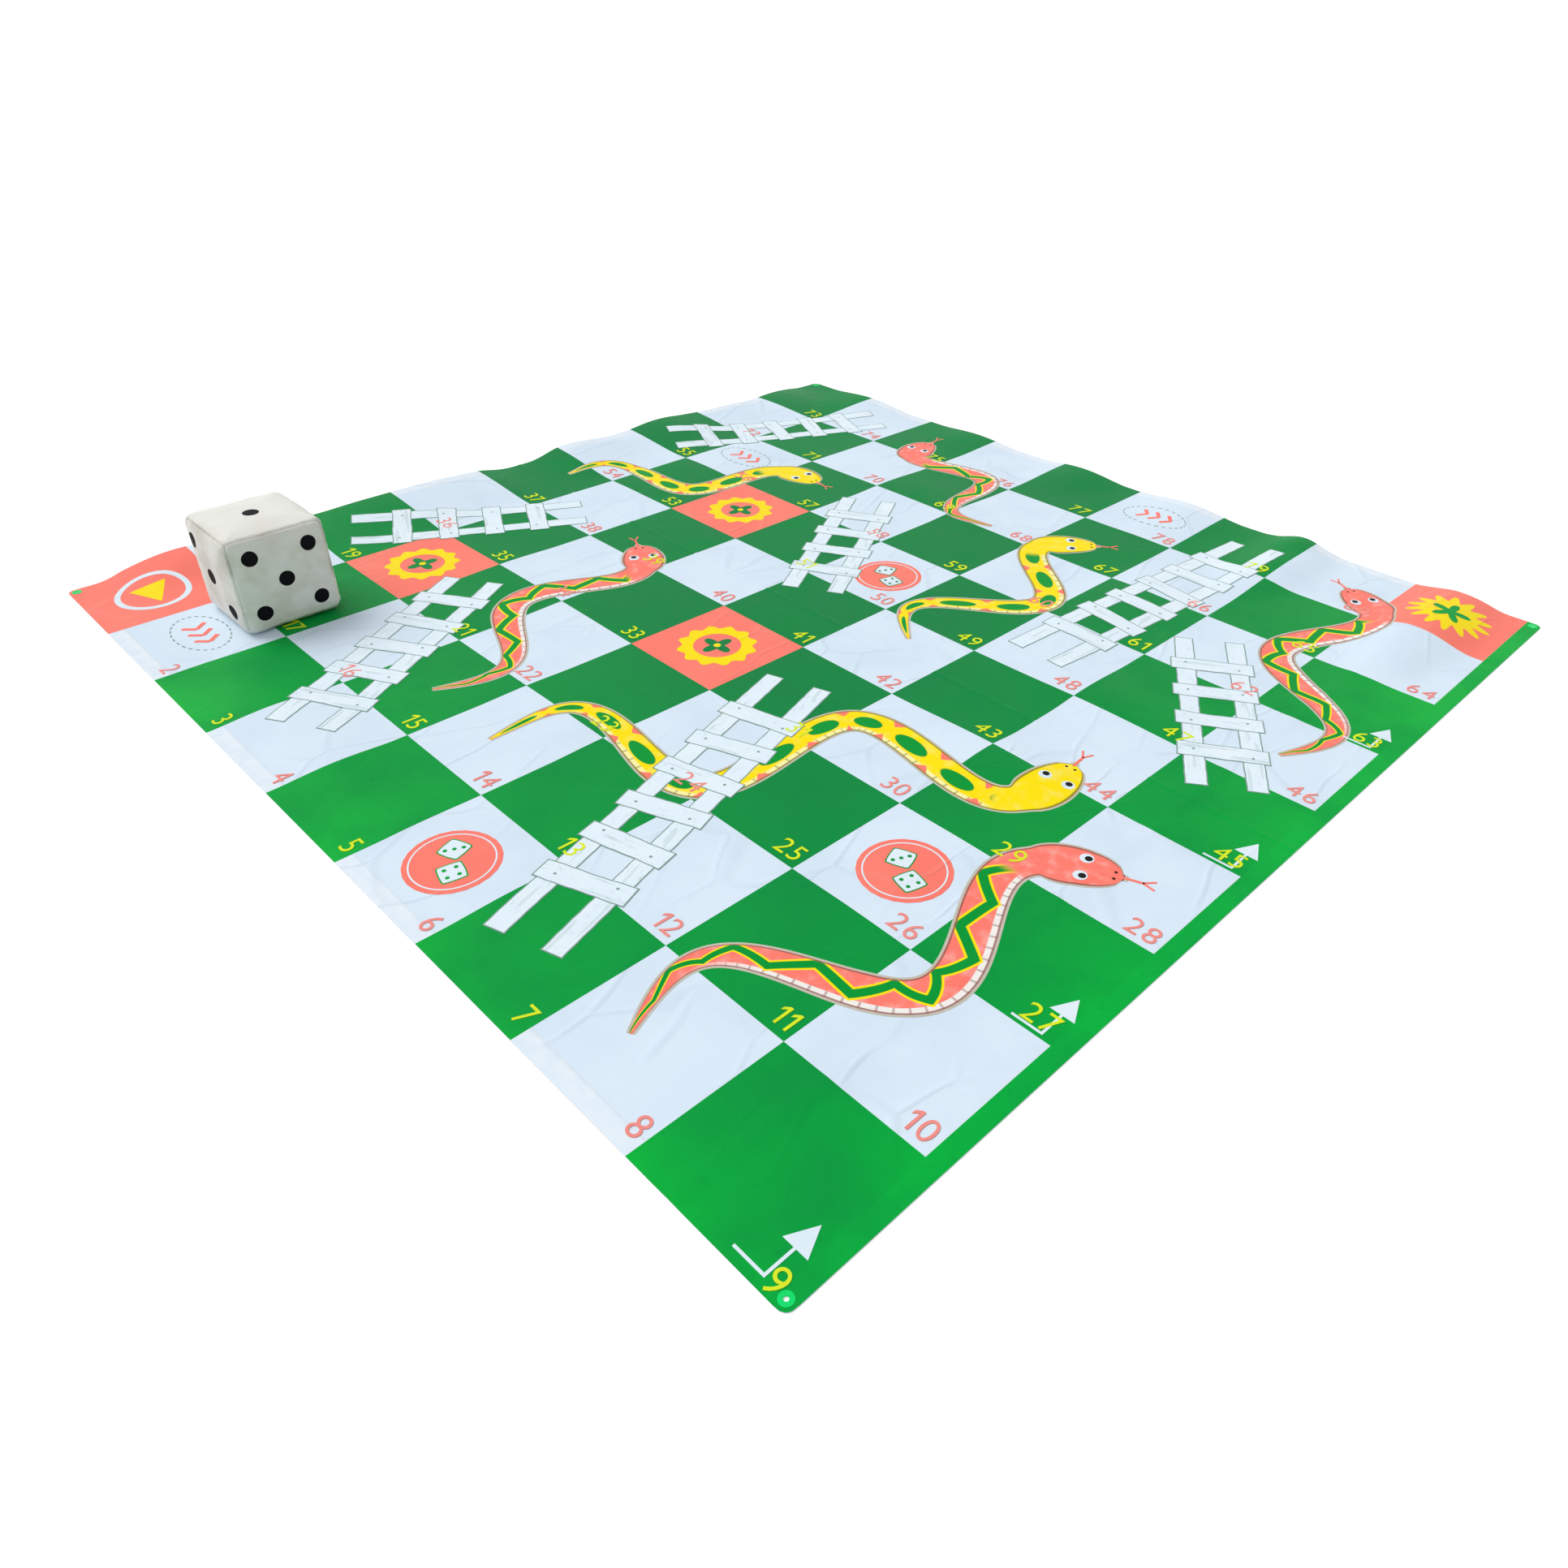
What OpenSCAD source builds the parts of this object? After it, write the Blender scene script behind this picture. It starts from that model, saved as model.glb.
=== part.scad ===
// A giant snakes and ladders floor mat and its soft die.
// The mat lies flat on the ground. The origin is on the ground under the middle of the mat,
// +X runs along the first row of squares, +Y runs up the rows and +Z is up.

/* [Board] */
// Side of one printed square
cell = 328; // [280:1:400]
// Bare margin left of the first column
left_margin = 8; // [4:1:30]
// Green strip right of the last column
right_strip = 40; // [36:1:80]
// Bare margin before the first row and after the last row
row_margin = 10; // [2:1:30]
// Side of the ring on a coral square, outside
ring_d = 220; // [150:1:250]
// Width of that ring
ring_w = 45; // [20:1:60]
// Diameter of a coral disc on a pale square
disc_d = 204; // [120:1:240]

/* [Sheet] */
// Thickness of the coated sheet
sheet_t = 0.6; // [0.3:0.1:2]
// Width of the edge that is turned under and welded
hem_w = 40; // [36:1:80]
// Radius of the mat's corners
corner_r = 20; // [8:1:30]
// Thickness of the printed ink
ink_t = 0.15; // [0.05:0.05:0.3]
// Bare line between two inks
print_gap = 0.5; // [0.2:0.1:2]

/* [Snakes] */
// Width of a snake's body
snake_w = 88; // [50:1:100]
// Width of a snake's head
snake_head_w = 126; // [90:1:130]
// Length of a snake's head
snake_head_l = 165; // [110:1:180]
// Length over which the tail tapers
snake_tail_l = 420; // [250:1:600]

/* [Ladders] */
// Length of a rung, which is the ladder's width
rung_l = 212; // [150:1:240]
// Width of a rung
rung_w = 54; // [30:1:62]
// Distance from one rung to the next
rung_pitch = 140; // [100:1:200]
// Width of a rail
rail_w = 46; // [24:1:54]
// How far a rung stands past each rail
rung_overhang = 14; // [4:1:20]
// How far a rail runs on past the middle of its end square
rail_overrun = 60; // [20:1:60]

/* [Eyelets] */
// Radius of the peg hole
eyelet_bore_r = 4.5; // [4:0.5:8]
// Radius of the flange and of the washer under it
eyelet_flange_r = 13; // [11:0.5:13]
// Thickness of the flange
eyelet_flange_t = 0.7; // [0.4:0.1:1.5]
// Wall of the barrel
eyelet_wall = 0.8; // [0.5:0.1:1.2]
// Distance of the hole from both edges
eyelet_inset = 20; // [18:1:22]
// Play between the barrel and what it passes through
eyelet_play = 0.1; // [0.05:0.05:0.3]

/* [Die] */
// Size of the die from face to face
die_side = 275; // [200:1:300]
// Radius of the sewn edges
die_edge_r = 26; // [20:1:32]
// How far each face swells, apart from the one it rests on
die_crown = 3; // [1:0.5:4]
// Thickness of the cover
cover_t = 1.5; // [0.8:0.1:3]
// Room between the cover and the foam
cover_room = 0.3; // [0.1:0.1:1]
// Diameter of a pip
pip_d = 42; // [30:1:56]
// Distance of the outer pips from the face's middle, along each side
pip_reach = 78; // [60:1:80]
// Thickness of a pip
pip_t = 0.4; // [0.2:0.1:1]
// Room between the die and the mat
die_room = 0.1; // [0.05:0.05:0.5]
// Column where the die stands, counted in squares from the left
die_column = 1.444; // [0.8:0.001:2]
// Row where the die stands, counted in squares from the first row
die_row = 1.175; // [0.8:0.001:2]
// Turn of the die against the squares
die_turn = 0; // [-10:1:10]

/* [Hidden] */
squares = 9;
snake_steps = 60;
mat_w = left_margin + squares * cell + right_strip;
mat_h = 2 * row_margin + squares * cell;
sheet_z = sheet_t;
ink_z = 2 * sheet_t;
mat_top = ink_z + ink_t;
barrel_r = eyelet_bore_r + eyelet_wall;
barrel_hole_r = barrel_r + eyelet_play;
washer_seat_r = eyelet_flange_r + eyelet_play;
die_half = die_side / 2;
crown_chord = die_half - die_edge_r;
crown_r = (crown_chord * crown_chord + die_crown * die_crown) / (2 * die_crown);
die_z = mat_top + die_room + pip_t + die_half;
pip_lift = 0.02;
reach_all = 4 * die_side;
crown_facets = 300;
$fn = 96;

// Board places, counted in squares from the mat's first corner
near_coral = [[0, 0], [1, 2], [4, 3]];
far_coral = [[8, 8], [2, 5]];
near_rings = [[1, 2], [4, 3]];
far_rings = [[2, 5]];
near_discs = [[5.5, 0.5], [7.5, 2.5]];
far_discs = [[4.56, 5.5]];

// Each snake: middle of the tail, middle of the head, number of bends, sideways sway in millimetres
coral_near_right = [[7.4, 0.45], [8.5, 3.45], 3, 125];
yellow_near = [[4.45, 1.4], [7.55, 4.25], 4, 150];
coral_near_left = [[3.55, 1.45], [2.5, 4.2], 3, -100];
yellow_far_left = [[0.55, 4.75], [2.5, 6.6], 3, 100];
coral_far_left = [[4.5, 7.1], [2.5, 8.45], 3, 100];
yellow_far_right = [[5.5, 4.75], [5.5, 7.5], 3, 125];
coral_far_right = [[8.5, 5.45], [7.6, 8.45], 3, -105];
near_snakes = [coral_near_right, yellow_near, coral_near_left];
far_snakes = [yellow_far_left, coral_far_left, yellow_far_right, coral_far_right];

// Each ladder: middle of the foot, middle of the top
ladder_centre = [[6.35, 0.6], [5.45, 3.4]];
ladder_left = [[3.3, 0.65], [2.22, 2.5]];
ladder_edge = [[0.55, 2.5], [1.4, 4.12]];
ladder_right = [[8.35, 4.95], [7.35, 6.45]];
ladder_middle = [[4.2, 4.95], [3.3, 6.5]];
ladder_far = [[6.4, 5.5], [6.6, 8.4]];
ladder_corner = [[0.55, 6.4], [1.45, 8.4]];
near_ladders = [ladder_centre, ladder_left, ladder_edge];
far_ladders = [ladder_right, ladder_middle, ladder_far, ladder_corner];

// Pips of each face, in steps of pip_reach across and up the face
pips_one = [[0, 0]];
pips_two = [[-1, 1], [1, -1]];
pips_three = concat(pips_one, pips_two);
pips_four = [[-1, -1], [-1, 1], [1, -1], [1, 1]];
pips_five = concat(pips_one, pips_four);
pips_six = concat(pips_four, [[-1, 0], [1, 0]]);

// Turn that brings the die's top to each face
turn_one = [0, 0, 0];
turn_two = [0, -90, 0];
turn_three = [90, 0, 0];
turn_four = [-90, 0, 0];
turn_five = [0, 90, 0];
turn_six = [180, 0, 0];
crowned_turns = [turn_one, turn_two, turn_three, turn_four, turn_five];

// Board places in millimetres
function column_x(c) = left_margin - mat_w / 2 + c * cell;
function row_y(r) = row_margin - mat_h / 2 + r * cell;
function board(p) = [column_x(p[0]), row_y(p[1])];
function is_green(c, r) =
    (c + r) % 2 == 0 && len([for (p = concat(near_coral, far_coral)) if (p == [c, r]) p]) == 0;

// A snake's middle line, its direction and its half width at a share t of its length
function snake_length(s) = norm(board(s[1]) - board(s[0]));
function snake_axis(s) = (board(s[1]) - board(s[0])) / snake_length(s);
function across(d) = [-d[1], d[0]];
function snake_middle(s, t) =
    board(s[0]) + snake_axis(s) * snake_length(s) * t + across(snake_axis(s)) * s[3] * sin(180 * s[2] * t);
function snake_heading(s, t) =
    let (slope = s[3] * PI * s[2] / snake_length(s) * cos(180 * s[2] * t),
         d = snake_axis(s) + across(snake_axis(s)) * slope)
    d / norm(d);
function head_half(s, t) =
    let (x = (2 * (1 - t) * snake_length(s) - snake_head_l) / snake_head_l)
    abs(x) >= 1 ? 0 : snake_head_w / 2 * sqrt(1 - x * x);
function body_half(s, t) =
    (1 - t) * snake_length(s) < snake_head_l / 2 ? 0
    : snake_w / 2 * pow(min(1, 0.02 + t * snake_length(s) / snake_tail_l), 0.7);
function snake_half(s, t) = max(head_half(s, t), body_half(s, t));
function snake_side(s, side, grow) = [
    for (i = [0 : snake_steps])
        let (t = i / snake_steps)
        snake_middle(s, t) + across(snake_heading(s, t)) * side * (snake_half(s, t) + grow)
];
function reversed(list) = [for (i = [len(list) - 1 : -1 : 0]) list[i]];

// Outlines on the mat, seen from above
module mat_outline() {
    translate([-mat_w / 2, corner_r - mat_h / 2]) square([mat_w, mat_h - 2 * corner_r]);
    translate([corner_r - mat_w / 2, -mat_h / 2]) square([mat_w - 2 * corner_r, mat_h]);
    for (x = [-1, 1], y = [-1, 1])
        translate([x * (mat_w / 2 - corner_r), y * (mat_h / 2 - corner_r)]) circle(corner_r);
}

module half_outline(far) {
    translate([-mat_w / 2, far ? 0 : -mat_h / 2]) square([mat_w, mat_h / 2]);
}

module eyelet_places(far) {
    for (x = [-1, 1])
        translate([x * (mat_w / 2 - eyelet_inset), (far ? 1 : -1) * (mat_h / 2 - eyelet_inset)])
            children();
}

module snake_outline(s, grow = 0) {
    polygon(concat(snake_side(s, 1, grow), reversed(snake_side(s, -1, grow))));
}

module ladder_outline(ladder, grow = 0) {
    foot = board(ladder[0]);
    span = board(ladder[1]) - foot;
    length = norm(span);
    rungs = floor(length / rung_pitch);
    first_rung = (length - (rungs - 1) * rung_pitch) / 2;
    rail_side = rung_l / 2 - rung_overhang - rail_w / 2;
    translate(foot) rotate(atan2(span[1], span[0])) {
        for (side = [-1, 1])
            translate([length / 2, side * rail_side])
                square([length + 2 * rail_overrun + 2 * grow, rail_w + 2 * grow], center = true);
        for (i = [0 : rungs - 1])
            translate([first_rung + i * rung_pitch, 0])
                square([rung_w + 2 * grow, rung_l + 2 * grow], center = true);
    }
}

module printed_square(c, r) {
    translate([column_x(c) + print_gap / 2, row_y(r) + print_gap / 2]) square(cell - print_gap);
}

module strip_outline() {
    translate([column_x(squares) + print_gap, -mat_h / 2 + print_gap])
        square([right_strip - 2 * print_gap, mat_h - 2 * print_gap]);
}

// Snakes, ladders and eyelets leave the square inks bare
module bare_places(far) {
    for (s = far ? far_snakes : near_snakes) snake_outline(s, print_gap);
    for (ladder = far ? far_ladders : near_ladders) ladder_outline(ladder, print_gap);
    eyelet_places(far) circle(eyelet_flange_r + print_gap);
}

module ink() {
    translate([0, 0, ink_z]) linear_extrude(ink_t) children();
}

module on_half(far) {
    intersection() {
        children();
        half_outline(far);
        mat_outline();
    }
}

// Sheet and hems
module sheet(far) {
    translate([0, 0, sheet_z]) linear_extrude(sheet_t) difference() {
        on_half(far) mat_outline();
        eyelet_places(far) circle(barrel_hole_r);
    }
}

module cross_hem(far) {
    linear_extrude(sheet_t) difference() {
        on_half(far)
            translate([-mat_w / 2, far ? mat_h / 2 - hem_w : -mat_h / 2]) square([mat_w, hem_w]);
        eyelet_places(far) circle(washer_seat_r);
    }
}

module side_hem(far, right) {
    linear_extrude(sheet_t)
        translate([right ? mat_w / 2 - hem_w : -mat_w / 2, far ? 0 : hem_w - mat_h / 2])
            square([hem_w, mat_h / 2 - hem_w]);
}

module sheet_near() { color("#dbe8f6") sheet(false); }
module sheet_far() { color("#dbe8f6") sheet(true); }
module hem_near() { color("#e6eff8") cross_hem(false); }
module hem_far() { color("#e6eff8") cross_hem(true); }
module hem_left_near() { color("#e6eff8") side_hem(false, false); }
module hem_left_far() { color("#e6eff8") side_hem(true, false); }
module hem_right_near() { color("#1f8f4b") side_hem(false, true); }
module hem_right_far() { color("#1f8f4b") side_hem(true, true); }

// Eyelets: a flanged barrel through the sheet, clenched over a washer that lies in the hem
module eyelets(far) {
    eyelet_places(far) difference() {
        union() {
            cylinder(h = ink_z, r = barrel_r);
            translate([0, 0, ink_z]) cylinder(h = eyelet_flange_t, r = eyelet_flange_r);
        }
        translate([0, 0, -1]) cylinder(h = ink_z + eyelet_flange_t + 2, r = eyelet_bore_r);
    }
}

module washers(far) {
    eyelet_places(far) difference() {
        cylinder(h = sheet_t, r = eyelet_flange_r);
        translate([0, 0, -1]) cylinder(h = sheet_t + 2, r = barrel_hole_r);
    }
}

module eyelets_near() { color("#b9bcbc") eyelets(false); }
module eyelets_far() { color("#b9bcbc") eyelets(true); }
module washers_near() { color("#a9acac") washers(false); }
module washers_far() { color("#a9acac") washers(true); }

// Inks
module green_ink(far) {
    ink() difference() {
        on_half(far) {
            for (c = [0 : squares - 1], r = [0 : squares - 1])
                if (is_green(c, r)) printed_square(c, r);
            strip_outline();
        }
        bare_places(far);
    }
}

module ring_places(far) {
    for (p = far ? far_rings : near_rings) translate(board(p + [0.5, 0.5])) children();
}

module coral_ink(far) {
    ink() difference() {
        on_half(far) {
            for (p = far ? far_coral : near_coral) printed_square(p[0], p[1]);
            for (p = far ? far_discs : near_discs) translate(board(p)) circle(d = disc_d);
        }
        bare_places(far);
        ring_places(far) difference() {
            circle(d = ring_d + 2 * print_gap);
            circle(d = ring_d - 2 * ring_w - 2 * print_gap);
        }
    }
}

module yellow_rings(far) {
    ink() ring_places(far) difference() {
        circle(d = ring_d);
        circle(d = ring_d - 2 * ring_w);
    }
}

module green_ink_near() { color("#0b9b46") green_ink(false); }
module green_ink_far() { color("#0b9b46") green_ink(true); }
module coral_ink_near() { color("#ff8a7c") coral_ink(false); }
module coral_ink_far() { color("#ff8a7c") coral_ink(true); }
module yellow_rings_near() { color("#ffe51a") yellow_rings(false); }
module yellow_rings_far() { color("#ffe51a") yellow_rings(true); }

// Where a ladder crosses a snake, the ladder lies over it
module snake_ink(s, far) {
    ink() difference() {
        snake_outline(s);
        for (ladder = far ? far_ladders : near_ladders) ladder_outline(ladder, print_gap);
    }
}

module snake_coral_near_right() { color("#ff8a7c") snake_ink(coral_near_right, false); }
module snake_yellow_near() { color("#ffe51a") snake_ink(yellow_near, false); }
module snake_coral_near_left() { color("#ff8a7c") snake_ink(coral_near_left, false); }
module snake_yellow_far_left() { color("#ffe51a") snake_ink(yellow_far_left, true); }
module snake_coral_far_left() { color("#ff8a7c") snake_ink(coral_far_left, true); }
module snake_yellow_far_right() { color("#ffe51a") snake_ink(yellow_far_right, true); }
module snake_coral_far_right() { color("#ff8a7c") snake_ink(coral_far_right, true); }

module ladder_ink(ladder) { color("#eef5f8") ink() ladder_outline(ladder); }
module ladder_ink_centre() { ladder_ink(ladder_centre); }
module ladder_ink_left() { ladder_ink(ladder_left); }
module ladder_ink_edge() { ladder_ink(ladder_edge); }
module ladder_ink_right() { ladder_ink(ladder_right); }
module ladder_ink_middle() { ladder_ink(ladder_middle); }
module ladder_ink_far() { ladder_ink(ladder_far); }
module ladder_ink_corner() { ladder_ink(ladder_corner); }

// Die
module at_die() {
    translate([column_x(die_column), row_y(die_row), die_z]) rotate([0, 0, die_turn]) children();
}

module rounded_square(half, radius) {
    square([2 * half, 2 * (half - radius)], center = true);
    square([2 * (half - radius), 2 * half], center = true);
    for (x = [-1, 1], y = [-1, 1])
        translate([x * (half - radius), y * (half - radius)]) circle(radius);
}

module die_prism(inset) {
    half = die_half - inset;
    translate([0, 0, -half]) linear_extrude(2 * half) rounded_square(half, die_edge_r - inset);
}

// Soft cube: round edges, and every face but the lowest swells
module die_form(inset) {
    intersection() {
        die_prism(inset);
        rotate([90, 0, 0]) die_prism(inset);
        rotate([0, 90, 0]) die_prism(inset);
        intersection_for(turn = crowned_turns)
            rotate(turn) translate([0, 0, die_half - crown_r]) sphere(crown_r - inset, $fn = crown_facets);
    }
}

// Space under the top face, out to the mitres where two panels are sewn together
module face_sector() {
    intersection() {
        rotate([0, -45, 0]) translate([0, -reach_all / 2, 0]) cube(reach_all);
        rotate([45, 0, 0]) translate([-reach_all / 2, 0, 0]) cube(reach_all);
    }
}

module die_panel(turn) {
    at_die() difference() {
        intersection() {
            die_form(0);
            rotate(turn) face_sector();
        }
        die_form(cover_t);
    }
}

module pip_columns(places, height) {
    for (p = places)
        translate([p[0] * pip_reach, p[1] * pip_reach, die_half - height])
            cylinder(h = 2 * height, d = pip_d);
}

module crowned_pips(turn, places) {
    at_die() rotate(turn) intersection() {
        pip_columns(places, die_half / 2);
        translate([0, 0, die_half - crown_r]) difference() {
            sphere(crown_r + pip_t, $fn = crown_facets);
            sphere(crown_r + pip_lift, $fn = crown_facets);
        }
    }
}

module flat_pips(turn, places) {
    at_die() rotate(turn)
        for (p = places)
            translate([p[0] * pip_reach, p[1] * pip_reach, die_half]) cylinder(h = pip_t, d = pip_d);
}

module die_core() { color("#d9d3b8") at_die() die_form(cover_t + cover_room); }
module die_panel_one() { color("#eef1ea") die_panel(turn_one); }
module die_panel_two() { color("#e3e4da") die_panel(turn_two); }
module die_panel_three() { color("#e3e4da") die_panel(turn_three); }
module die_panel_four() { color("#e3e4da") die_panel(turn_four); }
module die_panel_five() { color("#e3e4da") die_panel(turn_five); }
module die_panel_six() { color("#e3e4da") die_panel(turn_six); }
module die_pips_one() { color("#1b1c1e") crowned_pips(turn_one, pips_one); }
module die_pips_two() { color("#1b1c1e") crowned_pips(turn_two, pips_two); }
module die_pips_three() { color("#1b1c1e") crowned_pips(turn_three, pips_three); }
module die_pips_four() { color("#1b1c1e") crowned_pips(turn_four, pips_four); }
module die_pips_five() { color("#1b1c1e") crowned_pips(turn_five, pips_five); }
module die_pips_six() { color("#1b1c1e") flat_pips(turn_six, pips_six); }

sheet_near();
sheet_far();
hem_near();
hem_far();
hem_left_near();
hem_left_far();
hem_right_near();
hem_right_far();
eyelets_near();
eyelets_far();
washers_near();
washers_far();
green_ink_near();
green_ink_far();
coral_ink_near();
coral_ink_far();
yellow_rings_near();
yellow_rings_far();
snake_coral_near_right();
snake_yellow_near();
snake_coral_near_left();
snake_yellow_far_left();
snake_coral_far_left();
snake_yellow_far_right();
snake_coral_far_right();
ladder_ink_centre();
ladder_ink_left();
ladder_ink_edge();
ladder_ink_right();
ladder_ink_middle();
ladder_ink_far();
ladder_ink_corner();
die_core();
die_panel_one();
die_panel_two();
die_panel_three();
die_panel_four();
die_panel_five();
die_panel_six();
die_pips_one();
die_pips_two();
die_pips_three();
die_pips_four();
die_pips_five();
die_pips_six();
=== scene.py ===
"""Giant snakes and ladders floor mat with its soft die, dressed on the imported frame.

Every length is in metres. A place on the mat is given in board squares, u to the right and v away from
the first row, so that the print lies where the frame's own layers lie.
"""
from __future__ import annotations

import logging
import math
from dataclasses import dataclass, field
from enum import Enum
from functools import reduce
from itertools import combinations, product
from typing import Any, Callable, Iterable, Sequence

import bmesh
import bpy
from mathutils import Matrix, Vector, noise
from mathutils.bvhtree import BVHTree

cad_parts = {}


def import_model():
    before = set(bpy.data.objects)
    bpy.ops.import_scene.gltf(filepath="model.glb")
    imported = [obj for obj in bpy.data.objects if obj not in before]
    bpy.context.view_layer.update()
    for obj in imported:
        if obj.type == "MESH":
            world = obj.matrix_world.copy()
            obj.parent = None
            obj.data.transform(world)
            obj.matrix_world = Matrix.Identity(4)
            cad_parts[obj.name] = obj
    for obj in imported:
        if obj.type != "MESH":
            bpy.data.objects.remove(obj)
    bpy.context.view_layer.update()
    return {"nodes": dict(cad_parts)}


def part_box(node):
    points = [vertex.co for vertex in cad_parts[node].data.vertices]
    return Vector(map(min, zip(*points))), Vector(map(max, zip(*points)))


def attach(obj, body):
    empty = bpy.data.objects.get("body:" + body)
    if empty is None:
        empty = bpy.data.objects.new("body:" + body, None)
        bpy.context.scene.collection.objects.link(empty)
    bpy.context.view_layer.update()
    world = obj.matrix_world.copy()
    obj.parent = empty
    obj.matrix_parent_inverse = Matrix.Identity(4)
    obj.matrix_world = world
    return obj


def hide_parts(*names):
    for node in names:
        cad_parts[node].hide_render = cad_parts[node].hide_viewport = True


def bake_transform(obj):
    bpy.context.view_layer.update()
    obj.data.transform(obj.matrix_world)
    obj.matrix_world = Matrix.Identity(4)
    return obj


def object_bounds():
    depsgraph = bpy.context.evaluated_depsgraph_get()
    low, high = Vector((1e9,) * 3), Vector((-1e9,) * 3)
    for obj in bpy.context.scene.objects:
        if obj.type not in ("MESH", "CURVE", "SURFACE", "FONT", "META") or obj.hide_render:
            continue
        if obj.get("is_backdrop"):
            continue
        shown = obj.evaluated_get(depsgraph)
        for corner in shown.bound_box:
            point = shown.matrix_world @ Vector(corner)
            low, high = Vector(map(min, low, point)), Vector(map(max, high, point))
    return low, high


LOG = logging.getLogger("mat")
PHOTO_SIDE = 1932
INK_GLOSS = 0.06
CLOTH_DEPTH = 0.0022
MERGE_REACH = 1e-6
AXES = (Vector((1, 0, 0)), Vector((0, 1, 0)), Vector((0, 0, 1)))
Colour = tuple[float, float, float, float]
Place = tuple[float, float]
Material = bpy.types.Material
Object = bpy.types.Object
Mesh = bmesh.types.BMesh
Faces = list[bmesh.types.BMFace]
Width = Callable[[float], float]


class Half(Enum):
    """The body that a printed piece lies on, on either side of the middle crease."""

    NEAR = "near_half"
    FAR = "far_half"

    @property
    def end(self) -> str:
        """Give the word that the names of this half's pieces end in."""
        return self.value.removesuffix("_half")


class Shade(Enum):
    """The print of one square."""

    WHITE = "white"
    GREEN = "green"
    CORAL = "coral"


class Pattern(Enum):
    """The markings of a snake's back."""

    ZIGZAG = "zigzag"
    SPOTS = "spots"


class Ink(Enum):
    """The inks of printed figures and signs."""

    SKIN = "skin"
    PLANK = "plank"
    OUTLINE = "outline"
    RIM = "rim"
    DARK = "dark"
    PALE = "pale"
    GREEN = "green"
    CORAL = "coral"
    YELLOW = "yellow"


class Layer(Enum):
    """How far each print stands above the sheet, so that later prints cover earlier ones."""

    SQUARE = 0.00015
    RIM = 0.00030
    FIGURE = 0.00045
    DETAIL = 0.00070
    PLANK = 0.00095
    RUNG = 0.00110
    MARK = 0.00125
    TOP = 0.00145


def ink(red: int, green: int, blue: int) -> Colour:
    """Turn a screen colour into a linear one.

    Args:
        red: Red, 0 to 255.
        green: Green, 0 to 255.
        blue: Blue, 0 to 255.

    Returns:
        The linear colour with full alpha.
    """
    shares = [value / 255 for value in (red, green, blue)]
    linear = [s / 12.92 if s <= 0.04045 else ((s + 0.055) / 1.055) ** 2.4 for s in shares]
    return (linear[0], linear[1], linear[2], 1.0)


def ease(value: float, start: float, end: float) -> float:
    """Rise smoothly from 0 at start to 1 at end."""
    share = min(1.0, max(0.0, (value - start) / (end - start)))
    return share * share * (3 - 2 * share)


def sign(operation: str, swapped: bool = False) -> Callable[[Wire, Value], Wire]:
    """Make the method of one arithmetic sign.

    Args:
        operation: The Math node's operation.
        swapped: True for a reflected sign, whose number stands on the left.

    Returns:
        The method.
    """

    def method(wire: Wire, other: Value) -> Wire:
        """Add the sign's Math node."""
        pair = (other, wire) if swapped else (wire, other)
        return wire.nodes.math(operation, *pair)

    return method


class Wire:
    """A node's output that takes part in Python arithmetic."""

    def __init__(self, nodes: Nodes, socket: bpy.types.NodeSocket) -> None:
        """Keep the socket and the tree that it belongs to."""
        self.nodes = nodes
        self.socket = socket

    __add__ = sign("ADD")
    __radd__ = sign("ADD", True)
    __sub__ = sign("SUBTRACT")
    __rsub__ = sign("SUBTRACT", True)
    __mul__ = sign("MULTIPLY")
    __rmul__ = sign("MULTIPLY", True)
    __truediv__ = sign("DIVIDE")
    __rtruediv__ = sign("DIVIDE", True)
    __pow__ = sign("POWER")
    __mod__ = sign("FLOORED_MODULO")

    def __abs__(self) -> Wire:
        """Drop the minus."""
        return self.nodes.math("ABSOLUTE", self)


Value = float | Wire


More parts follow.
